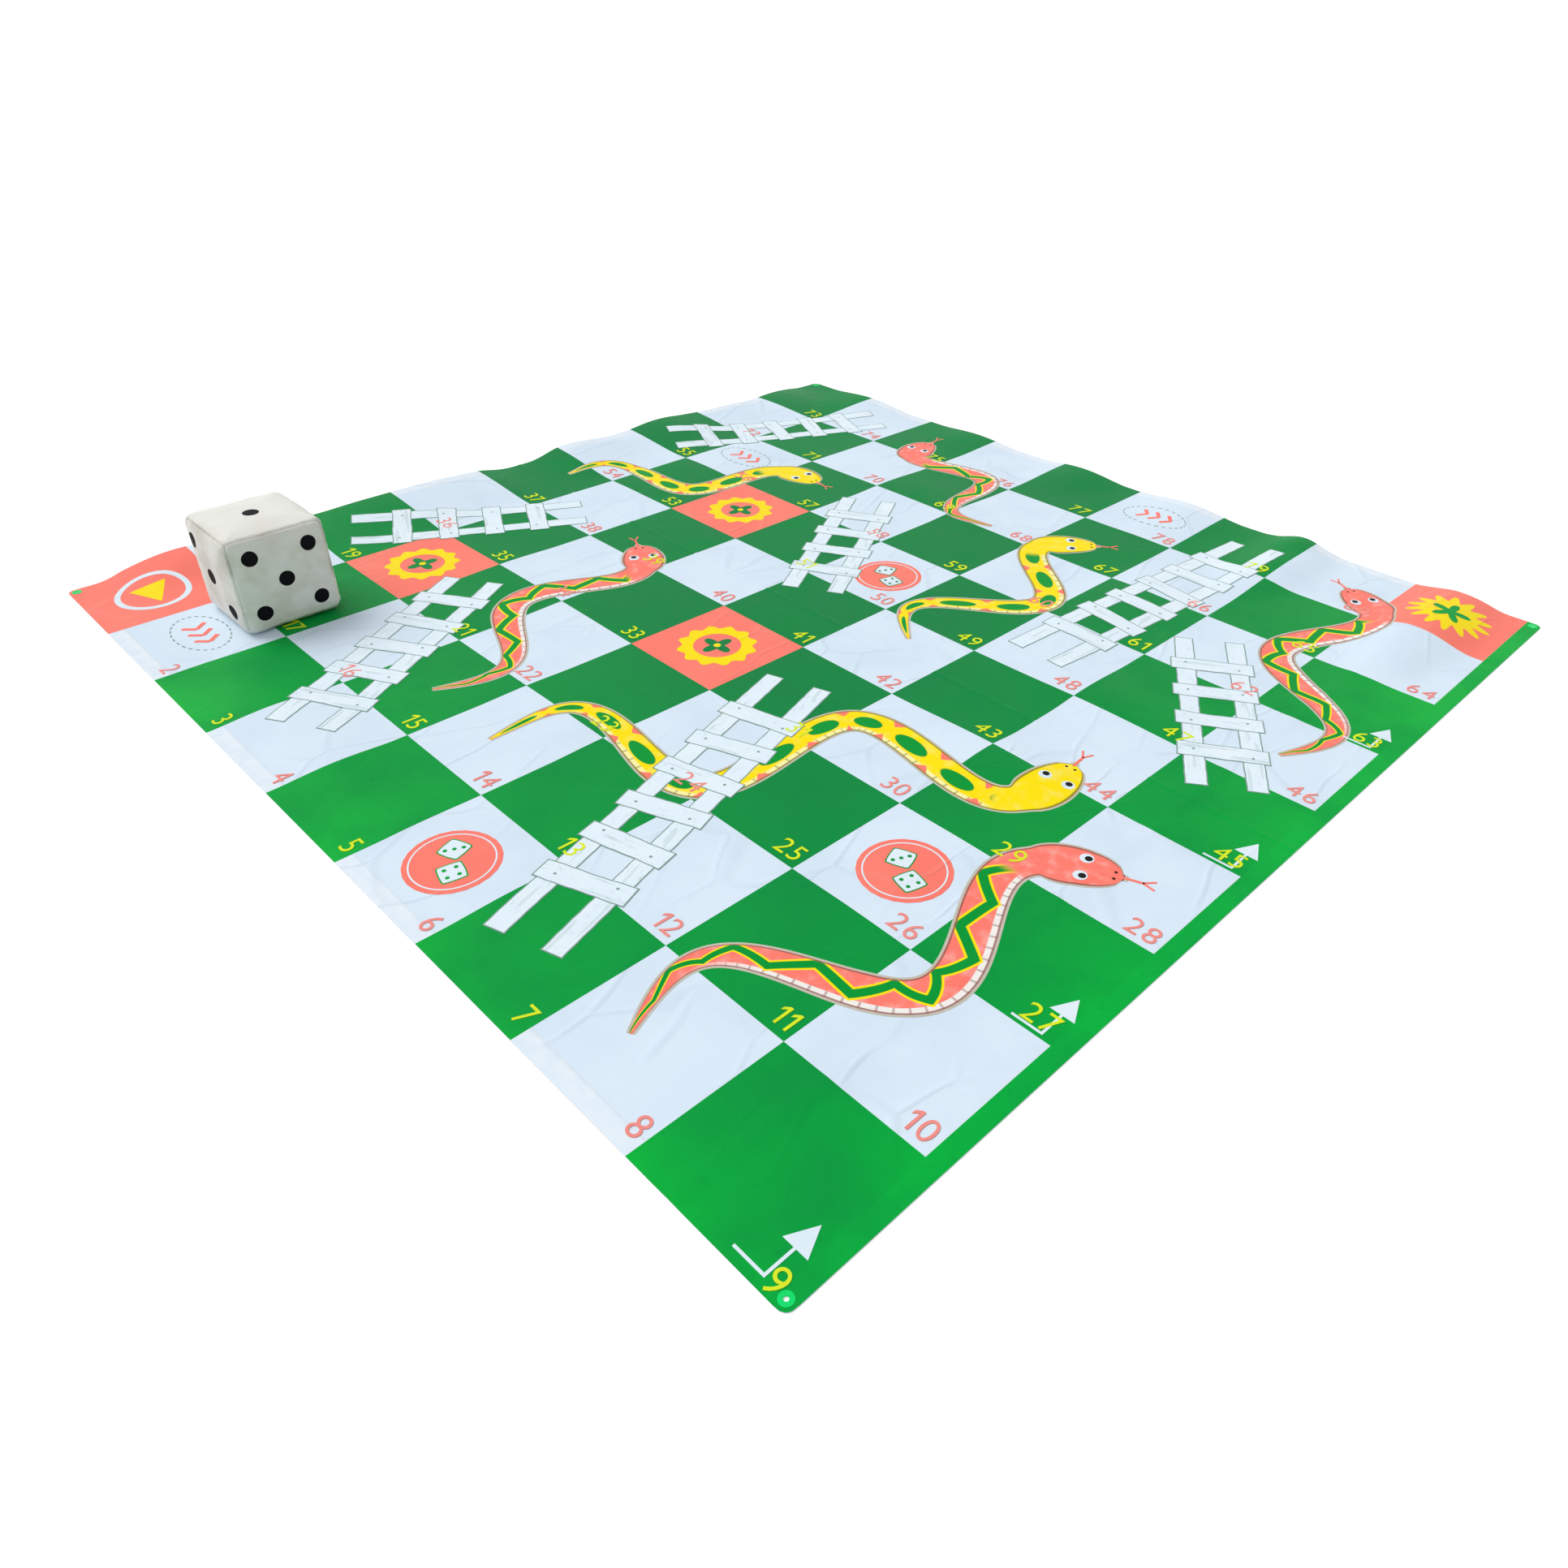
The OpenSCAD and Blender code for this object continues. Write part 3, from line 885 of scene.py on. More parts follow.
@dataclass
class MatSheet:
    """The coated sheet, its hems and the ink of its squares, all on one set of grid lines."""

    board: Board
    steps: int = 20
    thickness: float = 0.0006
    hem: float = 0.040
    hem_drop: float = 0.0006
    edge_line: float = 0.003
    fold_step: float = 0.004
    crease_step: float = 0.010
    closest: float = 0.0006
    eyelet_inset: float = 0.020
    eyelet_room: float = 0.006
    band_end: float = 0.050
    ink_sink: float = 0.00005

    def lines(self, axis: int) -> list[float]:
        """Work out the grid lines along one axis, closer together at the creases.

        Args:
            axis: 0 for lines across X, 1 for lines across Y.

        Returns:
            The places of the lines, in order.
        """
        board = self.board
        low = board.low[axis]
        high = board.high[axis]
        start = board.at(0, 0)[axis]
        step = board.cell / self.steps
        room = self.eyelet_room
        insets = (0.0, self.edge_line, self.hem, self.eyelet_inset - room, self.eyelet_inset + room)
        places = {start + step * i for i in range(board.count * self.steps + 1)}
        for inset in insets:
            places.update((low + inset, high - inset))
        if axis == 1:
            places.update(self.fold_step * i for i in range(-3, 15))
        else:
            crease = board.at(board.side_crease_u, 0).x
            places.update(crease + self.crease_step * i for i in range(-3, 4))
        ordered = sorted(places)
        return [p for i, p in enumerate(ordered) if i == 0 or p - ordered[i - 1] > self.closest]

    def grid(self) -> Mesh:
        """Lay out the flat sheet with its round corners and eyelet holes.

        Returns:
            The flat mesh of triangles.
        """
        xs = self.lines(0)
        ys = self.lines(1)
        mesh = bmesh.new()
        bmesh.ops.create_grid(mesh, x_segments=len(xs) - 1, y_segments=len(ys) - 1, size=1.0)
        for vert in mesh.verts:
            column = round((vert.co.x + 1) / 2 * (len(xs) - 1))
            row = round((vert.co.y + 1) / 2 * (len(ys) - 1))
            vert.co = (xs[column], ys[row], 0.0)
        holes = [f for f in mesh.faces if self.in_eyelet(f.calc_center_median())]
        bmesh.ops.delete(mesh, geom=holes, context="FACES")
        for vert in mesh.verts:
            vert.co = self.rounded(vert.co)
        bmesh.ops.triangulate(mesh, faces=mesh.faces[:], quad_method="FIXED")
        return mesh

    def in_eyelet(self, place: Vector) -> bool:
        """Tell whether a place is inside one of the four corner holes."""
        off = [abs(abs(place[i]) - (self.board.high[i] - self.eyelet_inset)) for i in (0, 1)]
        return max(off) < self.eyelet_room

    def rounded(self, place: Vector) -> Vector:
        """Draw a corner's square patch into a round one.

        Args:
            place: A place on the sheet.

        Returns:
            The place to use.
        """
        radius = self.board.corner
        x = abs(place.x) - (self.board.high.x - radius)
        y = abs(place.y) - (self.board.high.y - radius)
        if x <= 0 or y <= 0:
            return place.copy()
        share = max(x, y) / math.hypot(x, y)
        out_x = self.board.high.x - radius + x * share
        out_y = self.board.high.y - radius + y * share
        return Vector((math.copysign(out_x, place.x), math.copysign(out_y, place.y), 0.0))

    def cut(self, keep: Callable[[float, float], bool]) -> Mesh:
        """Keep part of the flat sheet.

        Args:
            keep: Tells from a face's middle whether it stays.

        Returns:
            The flat part.
        """
        mesh = self.grid()
        gone = [f for f in mesh.faces if not keep(*f.calc_center_median().xy)]
        bmesh.ops.delete(mesh, geom=gone, context="FACES")
        return mesh

    def plate(self, name: str, mesh: Mesh, top: float, bottom: float, finish: Material) -> Object:
        """Thicken a flat part and lay it on the waves.

        Args:
            name: The piece's name.
            mesh: The flat part.
            top: Its upper side above the sheet's top.
            bottom: Its lower side.
            finish: Its material.

        Returns:
            The piece.
        """
        thicken(mesh, mesh.faces[:], top, bottom)
        self.board.lay(mesh)
        return mesh_piece(name, mesh, [finish])

    def fold(self, piece: Object, slot: str, *nodes: str) -> Object:
        """Bake a piece's place into its mesh and hide the frame's nodes that it stands for.

        Args:
            piece: The piece.
            slot: The record's material slot; not used.
            nodes: The frame's nodes that it stands for.

        Returns:
            The same piece.
        """
        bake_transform(piece)
        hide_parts(*nodes)
        return piece

    def square(self, x: float, y: float) -> Shade:
        """Give the print at a place on the sheet.

        Args:
            x: Place in the frame.
            y: Place in the frame.

        Returns:
            The shade, which is green on the strip past the last column.
        """
        start = self.board.at(0, 0)
        column = math.floor((x - start.x) / self.board.cell)
        row = math.floor((y - start.y) / self.board.cell)
        row = min(max(row, 0), self.board.count - 1)
        if column >= self.board.count:
            return Shade.GREEN
        return self.board.shade(max(column, 0), row)

    def build(self, white: Material, green: Material, coral: Material) -> None:
        """Make the sheet, its hems and its squares.

        Args:
            white: The bare coated cloth.
            green: The green print.
            coral: The coral print.
        """
        sheet = self.plate("mat_sheet", self.grid(), 0.0, -self.thickness, white)
        self.fold(sheet, "coated_sheet", "sheet_near", "sheet_far")
        self.hems(white)
        layer = (Layer.SQUARE.value, -self.ink_sink)
        squares = self.cut(lambda x, y: self.square(x, y) is Shade.GREEN)
        piece = self.plate("green_print", squares, *layer, green)
        self.fold(piece, "green_ink", "green_ink_near", "green_ink_far")
        for half in Half:
            near = half is Half.NEAR
            squares = self.cut(lambda x, y: self.square(x, y) is Shade.CORAL and (y < 0) == near)
            piece = self.plate(f"coral_squares_{half.end}", squares, *layer, coral)
            seat(piece, half.value, "coral_ink")

    def hems(self, white: Material) -> list[Object]:
        """Make the four turned-under edges, with the near and far ones riding on their halves.

        Args:
            white: The bare coated cloth.

        Returns:
            The four hems.
        """
        inner_x = self.board.high.x - self.hem
        inner_y = self.board.high.y - self.hem
        keeps = {
            "near": lambda x, y: y < -inner_y,
            "far": lambda x, y: y > inner_y,
            "left": lambda x, y: x < -inner_x and abs(y) < inner_y,
            "right": lambda x, y: x > inner_x and abs(y) < inner_y,
        }
        ends = [half.end for half in Half]
        top = -self.thickness
        made = []
        for side, keep in keeps.items():
            piece = self.plate(f"hem_fold_{side}", self.cut(keep), top, top - self.hem_drop, white)
            if side in ends:
                seat(piece, f"{side}_half", "coated_sheet", f"hem_{side}")
            else:
                self.fold(piece, "coated_sheet", *(f"hem_{side}_{end}" for end in ends))
            made.append(piece)
        return made


@dataclass
class Artwork:
    """Thin printed shapes gathered into one piece and laid on the sheet."""

    name: str
    board: Board
    inks: dict[Ink, Material]
    sink: float = 0.0001
    cut_step: float = 0.016
    blunt: float = 0.0002

    def __post_init__(self) -> None:
        """Start an empty mesh that keeps the route of its bands."""
        self.mesh = bmesh.new()
        self.route = self.mesh.verts.layers.float_vector.new("route")

    def close(self, faces: Faces, layer: Layer, tone: Ink) -> None:
        """Give the flat shape just made its ink and its thickness.

        Args:
            faces: The shape's faces.
            layer: The print's height.
            tone: Its ink.
        """
        index = list(self.inks).index(tone)
        for face in faces:
            face.material_index = index
        thicken(self.mesh, faces, layer.value, -self.sink)

    def strip(
        self,
        middle: Callable[[float], Vector],
        half: Width,
        length: float,
        layer: Layer,
        tone: Ink,
        steps: int = 8,
        across: int = 2,
        seed: float | None = None,
    ) -> None:
        """Print a band along a route.

        Args:
            middle: Gives the route's flat place from its share, 0 to 1.
            half: Gives the band's half width from that share.
            length: The route's length.
            layer: The print's height.
            tone: Its ink.
            steps: Faces along.
            across: Faces across.
            seed: A number of the band's own for its grain; the length left where there is none.
        """
        made = bmesh.ops.create_grid(self.mesh, x_segments=steps, y_segments=across, size=1.0)["verts"]
        small = 0.5 / steps
        for vert in made:
            share = (vert.co.x + 1) / 2
            side = vert.co.y
            ahead = middle(min(1.0, share + small)) - middle(max(0.0, share - small))
            left = (1 - share) * length if seed is None else seed
            vert[self.route] = Vector((share * length, side, left))
            vert.co = middle(share) + sideways(ahead).normalized() * (half(share) * side)
        self.close(faces_of(made), layer, tone)

    def straight(
        self, start: Vector, end: Vector, half: Width, layer: Layer, tone: Ink, *cuts: float
    ) -> None:
        """Print a straight band, with the cuts and the seed that strip takes."""
        self.strip(lambda t: start.lerp(end, t), half, (end - start).length, layer, tone, *cuts)

    def bar(self, start: Vector, end: Vector, width: float, layer: Layer, tone: Ink) -> None:
        """Print a straight bar of one width."""
        steps = max(2, round((end - start).length / self.cut_step))
        self.straight(start, end, lambda t: width / 2, layer, tone, steps)

    def arrowhead(
        self, back: Vector, tip: Vector, half: float, layer: Layer, tone: Ink, *cuts: int
    ) -> None:
        """Print a triangle from its base, of which half the width is given, to its tip."""
        self.straight(back, tip, lambda t: half * (1 - t) + self.blunt, layer, tone, *cuts)

    def ring(
        self,
        centre: Vector,
        outer: Width,
        inner: float,
        layer: Layer,
        tone: Ink,
        sides: int = 48,
        rows: int = 4,
    ) -> None:
        """Print a ring or, with no inner radius, a disc.

        Args:
            centre: Its middle.
            outer: Gives the outer radius from the angle.
            inner: The inner radius.
            layer: The print's height.
            tone: Its ink.
            sides: Faces round.
            rows: Faces from the inside out.
        """

        def place(angle: float, share: float) -> Vector:
            """Give a place on the ring."""
            radius = inner + (outer(angle) - inner) * share
            return centre + Vector((math.cos(angle) * radius, math.sin(angle) * radius, 0.0))

        self.close(bend_round(self.mesh, sides, rows, place), layer, tone)

    def disc(self, centre: Vector, radius: float, layer: Layer, tone: Ink, rows: int = 2) -> None:
        """Print a round spot."""
        self.ring(centre, lambda a: radius, 0.0, layer, tone, 24, rows)

    def lay(self, half: Half, slot: str, *nodes: str) -> Object:
        """Raise the piece onto the waves, join it to its body and hide the nodes that it stands for."""
        self.board.lay(self.mesh)
        return seat(mesh_piece(self.name, self.mesh, list(self.inks.values())), half.value, slot, *nodes)


@dataclass
class Snake:
    """A printed snake that sways from its tail to its head."""

    node: str
    half: Half
    tail: Place
    head: Place
    bends: int
    sway: float
    width: float = 0.088
    head_width: float = 0.126
    head_length: float = 0.165
    neck_share: float = 0.985
    tail_length: float = 0.420
    tail_fullness: float = 0.7
    tail_start: float = 0.02
    least_half: float = 0.0004
    rim: float = 0.0055
    steps: int = 120
    across: int = 10
    eye: float = 0.0155
    eye_back: float = 0.52
    eye_aside: float = 0.24
    pupil: float = 0.0085
    pupil_ahead: float = 0.004
    nostril: float = 0.0036
    nostril_back: float = 0.020
    nostril_aside: float = 0.011
    tongue: float = 0.040
    tongue_width: float = 0.0070
    tongue_root: float = 0.008
    tongue_end: float = 0.041
    fork: float = 0.024
    fork_aside: float = 0.014
    fork_width: float = 0.0050
    fork_overlap: float = 0.002

    def build(self, board: Board, inks: dict[Ink, Material], slot: str) -> None:
        """Print the snake with its eyes and tongue.

        Args:
            board: The board it lies on.
            inks: Its skin, the inks of its face and its rim.
            slot: The record's material slot.
        """
        start = board.at(*self.tail)
        axis = board.at(*self.head) - start
        length = axis.length
        forward = axis.normalized()
        over = sideways(forward)

        def middle(t: float) -> Vector:
            """Give the route's place."""
            sway = self.sway * math.sin(math.pi * self.bends * t)
            return start + forward * (length * t) + over * sway

        def half(t: float) -> float:
            """Give the half width.

            Args:
                t: Share of the route.

            Returns:
                Half the snake's width there.
            """
            x = (2 * (1 - t) * length - self.head_length) / self.head_length
            head = self.head_width / 2 * math.sqrt(1 - x * x) if abs(x) < 1 else 0.0
            grown = min(1.0, self.tail_start + t * length / self.tail_length)
            body = self.width / 2 * grown ** self.tail_fullness
            if (1 - t) * length < self.head_length / 2:
                body = 0.0
            return max(head, body, self.least_half)

        def rim(t: float) -> float:
            """Give the half width of the pale rim under the snake."""
            return half(t) + self.rim

        art = Artwork(f"{self.node}_print", board, inks)
        art.strip(middle, rim, length, Layer.RIM, Ink.RIM, self.steps, self.across)
        art.strip(middle, half, length, Layer.FIGURE, Ink.SKIN, self.steps, self.across)
        tip = middle(1.0)
        art.disc(tip, 2 * self.rim, Layer.RIM, Ink.RIM)
        self.face(art, tip, (tip - middle(self.neck_share)).normalized())
        art.lay(self.half, slot, self.node)

    def face(self, art: Artwork, tip: Vector, forward: Vector) -> None:
        """Add eyes, nostrils and a forked tongue.

        Args:
            art: The snake's piece.
            tip: The end of its nose.
            forward: The way it looks.
        """
        over = sideways(forward)
        root = tip + forward * (self.tongue - self.fork_overlap)
        for side in (-1, 1):
            eye = tip - forward * (self.head_length * self.eye_back)
            eye += over * (side * self.head_width * self.eye_aside)
            art.disc(eye, self.eye, Layer.DETAIL, Ink.PALE)
            art.disc(eye + forward * self.pupil_ahead, self.pupil, Layer.PLANK, Ink.DARK)
            nostril = tip - forward * self.nostril_back + over * (side * self.nostril_aside)
            art.disc(nostril, self.nostril, Layer.DETAIL, Ink.DARK)
            end = tip + forward * (self.tongue + self.fork) + over * (side * self.fork_aside)
            art.bar(root, end, self.fork_width, Layer.DETAIL, Ink.CORAL)
        back = tip - forward * self.tongue_root
        art.bar(back, tip + forward * self.tongue_end, self.tongue_width, Layer.DETAIL, Ink.CORAL)


@dataclass
class Ladder:
    """A printed ladder of rough planks: two rails with nailed rungs across them."""

    node: str
    half: Half
    foot: Place
    top: Place
    rung_length: float = 0.212
    rung_width: float = 0.054
    rung_pitch: float = 0.140
    rung_tilt: float = 0.006
    rung_overhang: float = 0.014
    rail_width: float = 0.046
    rail_overrun: float = 0.060
    outline: float = 0.0030
    roughness: float = 0.035
    nail: float = 0.0036
    nail_stray: float = 0.010
    across: int = 4

    def plank(
        self, art: Artwork, start: Vector, end: Vector, width: float, layers: Sequence[Layer], seed: float
    ) -> None:
        """Print one plank over its outline.

        Args:
            art: The ladder's piece.
            start: Its first end.
            end: Its other end.
            width: Its width.
            layers: The heights of its outline and of the plank itself.
            seed: A number of its own.
        """
        along = end - start
        length = along.length
        cuts = (max(4, round(length / art.cut_step)), self.across, seed)
        past = along.normalized() * self.outline

        def half(t: float) -> float:
            """Give the rough half width."""
            rough = math.sin(seed * 7.3 + t * 9.0) + 0.6 * math.sin(seed * 3.1 + t * length * 130)
            return width / 2 * (1 + self.roughness * rough)

        def rimmed(t: float) -> float:
            """Give the half width with its outline."""
            return half(t) + self.outline

        art.straight(start - past, end + past, rimmed, layers[0], Ink.OUTLINE, *cuts)
        art.straight(start, end, half, layers[1], Ink.PLANK, *cuts)

    def build(self, board: Board, inks: dict[Ink, Material]) -> None:
        """Print the ladder.

        Args:
            board: The board it lies on.
            inks: Plank and outline materials.
        """
        foot = board.at(*self.foot)
        axis = board.at(*self.top) - foot
        length = axis.length
        forward = axis.normalized()
        over = sideways(forward)
        rungs = math.floor(length / self.rung_pitch)
        first = (length - (rungs - 1) * self.rung_pitch) / 2
        rail_side = self.rung_length / 2 - self.rung_overhang - self.rail_width / 2
        art = Artwork(f"{self.node}_print", board, inks)
        for side in (-1, 1):
            start = foot - forward * self.rail_overrun + over * (rail_side * side)
            end = foot + forward * (length + self.rail_overrun) + over * (rail_side * side)
            self.plank(art, start, end, self.rail_width, (Layer.DETAIL, Layer.PLANK), 1.7 + side)
        for rung in range(rungs):
            seed = rung * 1.9 + length
            middle = foot + forward * (first + rung * self.rung_pitch)
            tilt = forward * (self.rung_tilt * math.sin(seed * 5.0))
            reach = over * (self.rung_length / 2) + tilt
            layers = (Layer.RUNG, Layer.MARK)
            self.plank(art, middle - reach, middle + reach, self.rung_width, layers, seed)
            for side in (-1, 1):
                spot = middle + over * (side * rail_side) + tilt * side
                spot += forward * (self.nail_stray * math.sin(seed * 9.0 + side))
                art.disc(spot, self.nail, Layer.TOP, Ink.OUTLINE)
        piece = art.lay(self.half, "pale_ink", self.node)
        LOG.info("%s has %d rungs", piece.name, rungs)


@dataclass
class Numbers:
    """The squares' numbers, in each square's lower right corner."""

    board: Board
    height: float = 0.049
    height_share: float = 0.70
    right: float = 0.045
    base: float = 0.050
    corner_drop: float = 0.065
    gap: float = 0.0095
    stroke_trim: float = -0.0003
    flag_reach: float = 0.0105
    flag_fall: float = 0.0085
    flag_stroke: float = 0.0080
    near_rows: int = 5

    def figure(self, digit: str) -> bpy.types.Mesh:
        """Make one figure a flat mesh on its base line, with its right end at 0.

        Args:
            digit: The figure.

        Returns:
            The mesh.
        """
        curve = bpy.data.curves.new("figure", "FONT")
        curve.body = digit
        curve.size = self.height / self.height_share
        curve.offset = self.stroke_trim
        curve.resolution_u = 4
        flat = settle(place_object("figure", curve))
        bpy.data.curves.remove(curve)
        part = bmesh.new()
        part.from_mesh(flat)
        bmesh.ops.remove_doubles(part, verts=part.verts[:], dist=MERGE_REACH)
        right = max(vert.co.x for vert in part.verts)
        bmesh.ops.translate(part, verts=part.verts[:], vec=(-right, 0, 0))
        if digit == "1":
            self.add_flag(part)
        part.to_mesh(flat)
        part.free()
        return flat

    def add_flag(self, part: Mesh) -> None:
        """Add the short slanted stroke at the head of a one.

        Args:
            part: The plain upright, which is changed.
        """
        left = min(vert.co.x for vert in part.verts)
        top = max(vert.co.y for vert in part.verts)
        for vert in bmesh.ops.create_grid(part, x_segments=1, y_segments=1, size=0.5)["verts"]:
            along = vert.co.x - 0.5
            below = 0.5 - vert.co.y
            vert.co.x = left + along * self.flag_reach
            vert.co.y = top + along * self.flag_fall - below * self.flag_stroke

    def write(self, target: Mesh, figures: dict[str, bpy.types.Mesh], column: int, row: int) -> None:
        """Add one square's number to a piece.

        Args:
            target: The piece's mesh.
            figures: The ten figures.
            column: Column, from 0.
            row: Row, from 0.
        """
        part = bmesh.new()
        pen = 0.0
        for digit in reversed(str(self.board.number(column, row))):
            before = len(part.verts)
            part.from_mesh(figures[digit])
            part.verts.ensure_lookup_table()
            added = part.verts[before:]
            bmesh.ops.translate(part, verts=added, vec=(pen, 0, 0))
            pen = min(vert.co.x for vert in added) - self.gap
        for axis in AXES[:2]:
            for step in range(-6, 5):
                geom = part.verts[:] + part.edges[:] + part.faces[:]
                place = axis * (step * Artwork.cut_step)
                bmesh.ops.bisect_plane(part, geom=geom, plane_co=place, plane_no=axis)
        drop = self.corner_drop if (column, row) == (self.board.count - 1, 0) else 0.0
        spot = self.board.at(column + 1 - self.right + drop, row + self.base - drop)
        bmesh.ops.translate(part, verts=part.verts[:], vec=spot)
        thicken(part, part.faces[:], Layer.TOP.value, -Artwork.sink)
        mesh = bpy.data.meshes.new("number")
        part.to_mesh(mesh)
        part.free()
        target.from_mesh(mesh)
        bpy.data.meshes.remove(mesh)

    def build(self, on_green: Material, on_white: Material) -> None:
        """Make the numbers of both halves in both colours.

        Args:
            on_green: The ink on green squares.
            on_white: The ink on white squares.
        """
        figures = {digit: self.figure(digit) for digit in "0123456789"}
        count = self.board.count
        rows = {Half.NEAR: range(self.near_rows), Half.FAR: range(self.near_rows, count)}
        inks = {"yellow": (Shade.GREEN, on_green), "coral": (Shade.WHITE, on_white)}
        for half, (colour, (shade, finish)) in product(Half, inks.items()):
            mesh = bmesh.new()
            for row, column in product(rows[half], range(count)):
                if self.board.shade(column, row) is shade:
                    self.write(mesh, figures, column, row)
            self.board.lay(mesh)
            piece = mesh_piece(f"numbers_{colour}_{half.end}", mesh, [finish])
            seat(piece, half.value, f"{colour}_ink")
        for flat in figures.values():
            bpy.data.meshes.remove(flat)


RINGS = {Half.NEAR: ((1, 2), (4, 3)), Half.FAR: ((2, 5),)}
DISCS = {Half.NEAR: ((5.5, 0.5), (7.5, 2.5)), Half.FAR: ((4.56, 5.5),)}
OVALS = {Half.NEAR: ((1.48, 0.52),), Half.FAR: ((5.5, 8.5), (1.42, 6.52))}
TURNS = {Half.NEAR: (0, 2, 4), Half.FAR: (6,)}


@dataclass
class Signs(Artwork):
    """A piece of printed signs: turn arrows, rings, discs with dice, ovals, a start and a finish sign."""

    ring_radius: float = 0.110
    ring_width: float = 0.045
    ring_middle: float = 0.010
    disc_radius: float = 0.102
    disc_line: tuple[float, float] = (0.090, 0.0865)
    small_side: float = 0.052
    small_outline: float = 0.003
    small_pip: float = 0.09
    oval_wide: float = 0.112
    oval_deep: float = 0.068
    oval_line: float = 0.0038
    dashes: int = 26
    dash_turn: float = 0.13
    chevron_pitch: float = 0.045
    chevron_width: float = 0.0120
    chevron_nose: float = 0.018
    chevron_back: float = 0.026
    chevron_rise: float = 0.030
    arrow_u: float = 8.915
    arrow_tail_u: float = 8.71
    arrow_rise: float = 0.035
    arrow_neck: float = 0.22
    arrow_tip: float = 0.385
    arrow_line: float = 0.0056
    arrow_half: float = 0.0270
    start_line: tuple[float, float] = (0.100, 0.084)
    start_half: float = 0.050
    start_ends: tuple[float, float] = (-0.040, 0.062)

    def turn_arrow(self, row: int) -> None:
        """Print the arrow that leads up to the next row.

        Args:
            row: The row that ends here.
        """
        line = self.arrow_line
        tail = self.board.at(self.arrow_tail_u, row + self.arrow_rise)
        corner = self.board.at(self.arrow_u, row + self.arrow_rise)
        neck = self.board.at(self.arrow_u, row + self.arrow_neck)
        tip = self.board.at(self.arrow_u, row + self.arrow_tip)
        self.bar(tail, corner, line, Layer.DETAIL, Ink.PALE)
        self.bar(corner - Vector((0, line / 2, 0)), neck, line, Layer.PLANK, Ink.PALE)
        self.arrowhead(neck, tip, self.arrow_half, Layer.DETAIL, Ink.PALE, 6, 4)

    def small_die(self, centre: Vector, turn: float, pips: Sequence[Place]) -> None:
        """Print a small die.

        Args:
            centre: Its middle.
            turn: Its turn.
            pips: Its spots, in shares of its side.
        """
        side = self.small_side
        ahead = Vector((math.cos(turn), math.sin(turn), 0.0))
        over = sideways(ahead)

        def square(angle: float) -> float:
            """Give a rounded square's radius as a share of its half side."""
            return 1 / max(abs(math.cos(angle - turn)), abs(math.sin(angle - turn))) ** 0.8

        rim = side / 2 + self.small_outline
        self.ring(centre, lambda a: rim * square(a), 0.0, Layer.DETAIL, Ink.GREEN, 48, 3)
        self.ring(centre, lambda a: side / 2 * square(a), 0.0, Layer.PLANK, Ink.PALE, 48, 3)
        for across, along in pips:
            spot = centre + ahead * (across * side) + over * (along * side)
            self.disc(spot, side * self.small_pip, Layer.MARK, Ink.GREEN)

    def dice_disc(self, place: Place) -> None:
        """Print a coral disc with two dice.

        Args:
            place: Its middle on the board.
        """
        centre = self.board.at(*place)
        outer, inner = self.disc_line
        self.disc(centre, self.disc_radius, Layer.FIGURE, Ink.CORAL, 6)
        self.ring(centre, lambda a: outer, inner, Layer.DETAIL, Ink.PALE, 48, 1)
        three = ((0.0, 0.0), (-0.26, -0.26), (0.26, 0.26))
        four = ((-0.24, -0.24), (0.24, 0.24), (-0.24, 0.24), (0.24, -0.24))
        self.small_die(centre + Vector((-0.030, 0.022, 0)), 0.35, three)
        self.small_die(centre + Vector((0.032, -0.020, 0)), -0.25, four)

    def petal_ring(self, square: Place) -> None:
        """Print a ring of petals with a leafy middle.

        Args:
            square: The square's column and row.
        """
        centre = self.board.at(square[0] + 0.5, square[1] + 0.5)
        petals = lobes(0.93 * self.ring_radius, 0.07 * self.ring_radius, 12)
        self.ring(centre, petals, self.ring_radius - self.ring_width, Layer.FIGURE, Ink.YELLOW, 96, 4)
        self.ring(centre, lobes(0.034, 0.014, 4), 0.0, Layer.FIGURE, Ink.GREEN, 64, 3)
        self.disc(centre, self.ring_middle, Layer.DETAIL, Ink.YELLOW)

    def oval(self, place: Place) -> None:
        """Print a dashed oval with chevrons.

        Args:
            place: Its middle on the board.
        """
        centre = self.board.at(*place)

        def spot(angle: float) -> Vector:
            """Give a place on the oval."""
            reach = (math.cos(angle) * self.oval_wide, math.sin(angle) * self.oval_deep, 0.0)
            return centre + Vector(reach)

        for dash in range(self.dashes):
            angle = 2 * math.pi * dash / self.dashes
            ends = (spot(angle), spot(angle + self.dash_turn))
            self.bar(*ends, self.oval_line, Layer.FIGURE, Ink.OUTLINE)
        for chevron in (-1, 0, 1):
            nose = centre + Vector((chevron * self.chevron_pitch + self.chevron_nose, 0.0, 0.0))
            for side, layer in ((-1, Layer.FIGURE), (1, Layer.DETAIL)):
                wing = nose + Vector((-self.chevron_back, side * self.chevron_rise, 0.0))
                self.bar(nose, wing, self.chevron_width, layer, Ink.CORAL)

    def start_sign(self) -> None:
        """Print the first square's ring and arrowhead."""
        centre = self.board.at(0.5, 0.5)
        outer, inner = self.start_line
        self.ring(centre, lambda a: outer, inner, Layer.FIGURE, Ink.PALE, 64, 2)
        back, tip = (centre + AXES[0] * end for end in self.start_ends)
        self.arrowhead(back, tip, self.start_half, Layer.FIGURE, Ink.YELLOW, 8, 6)

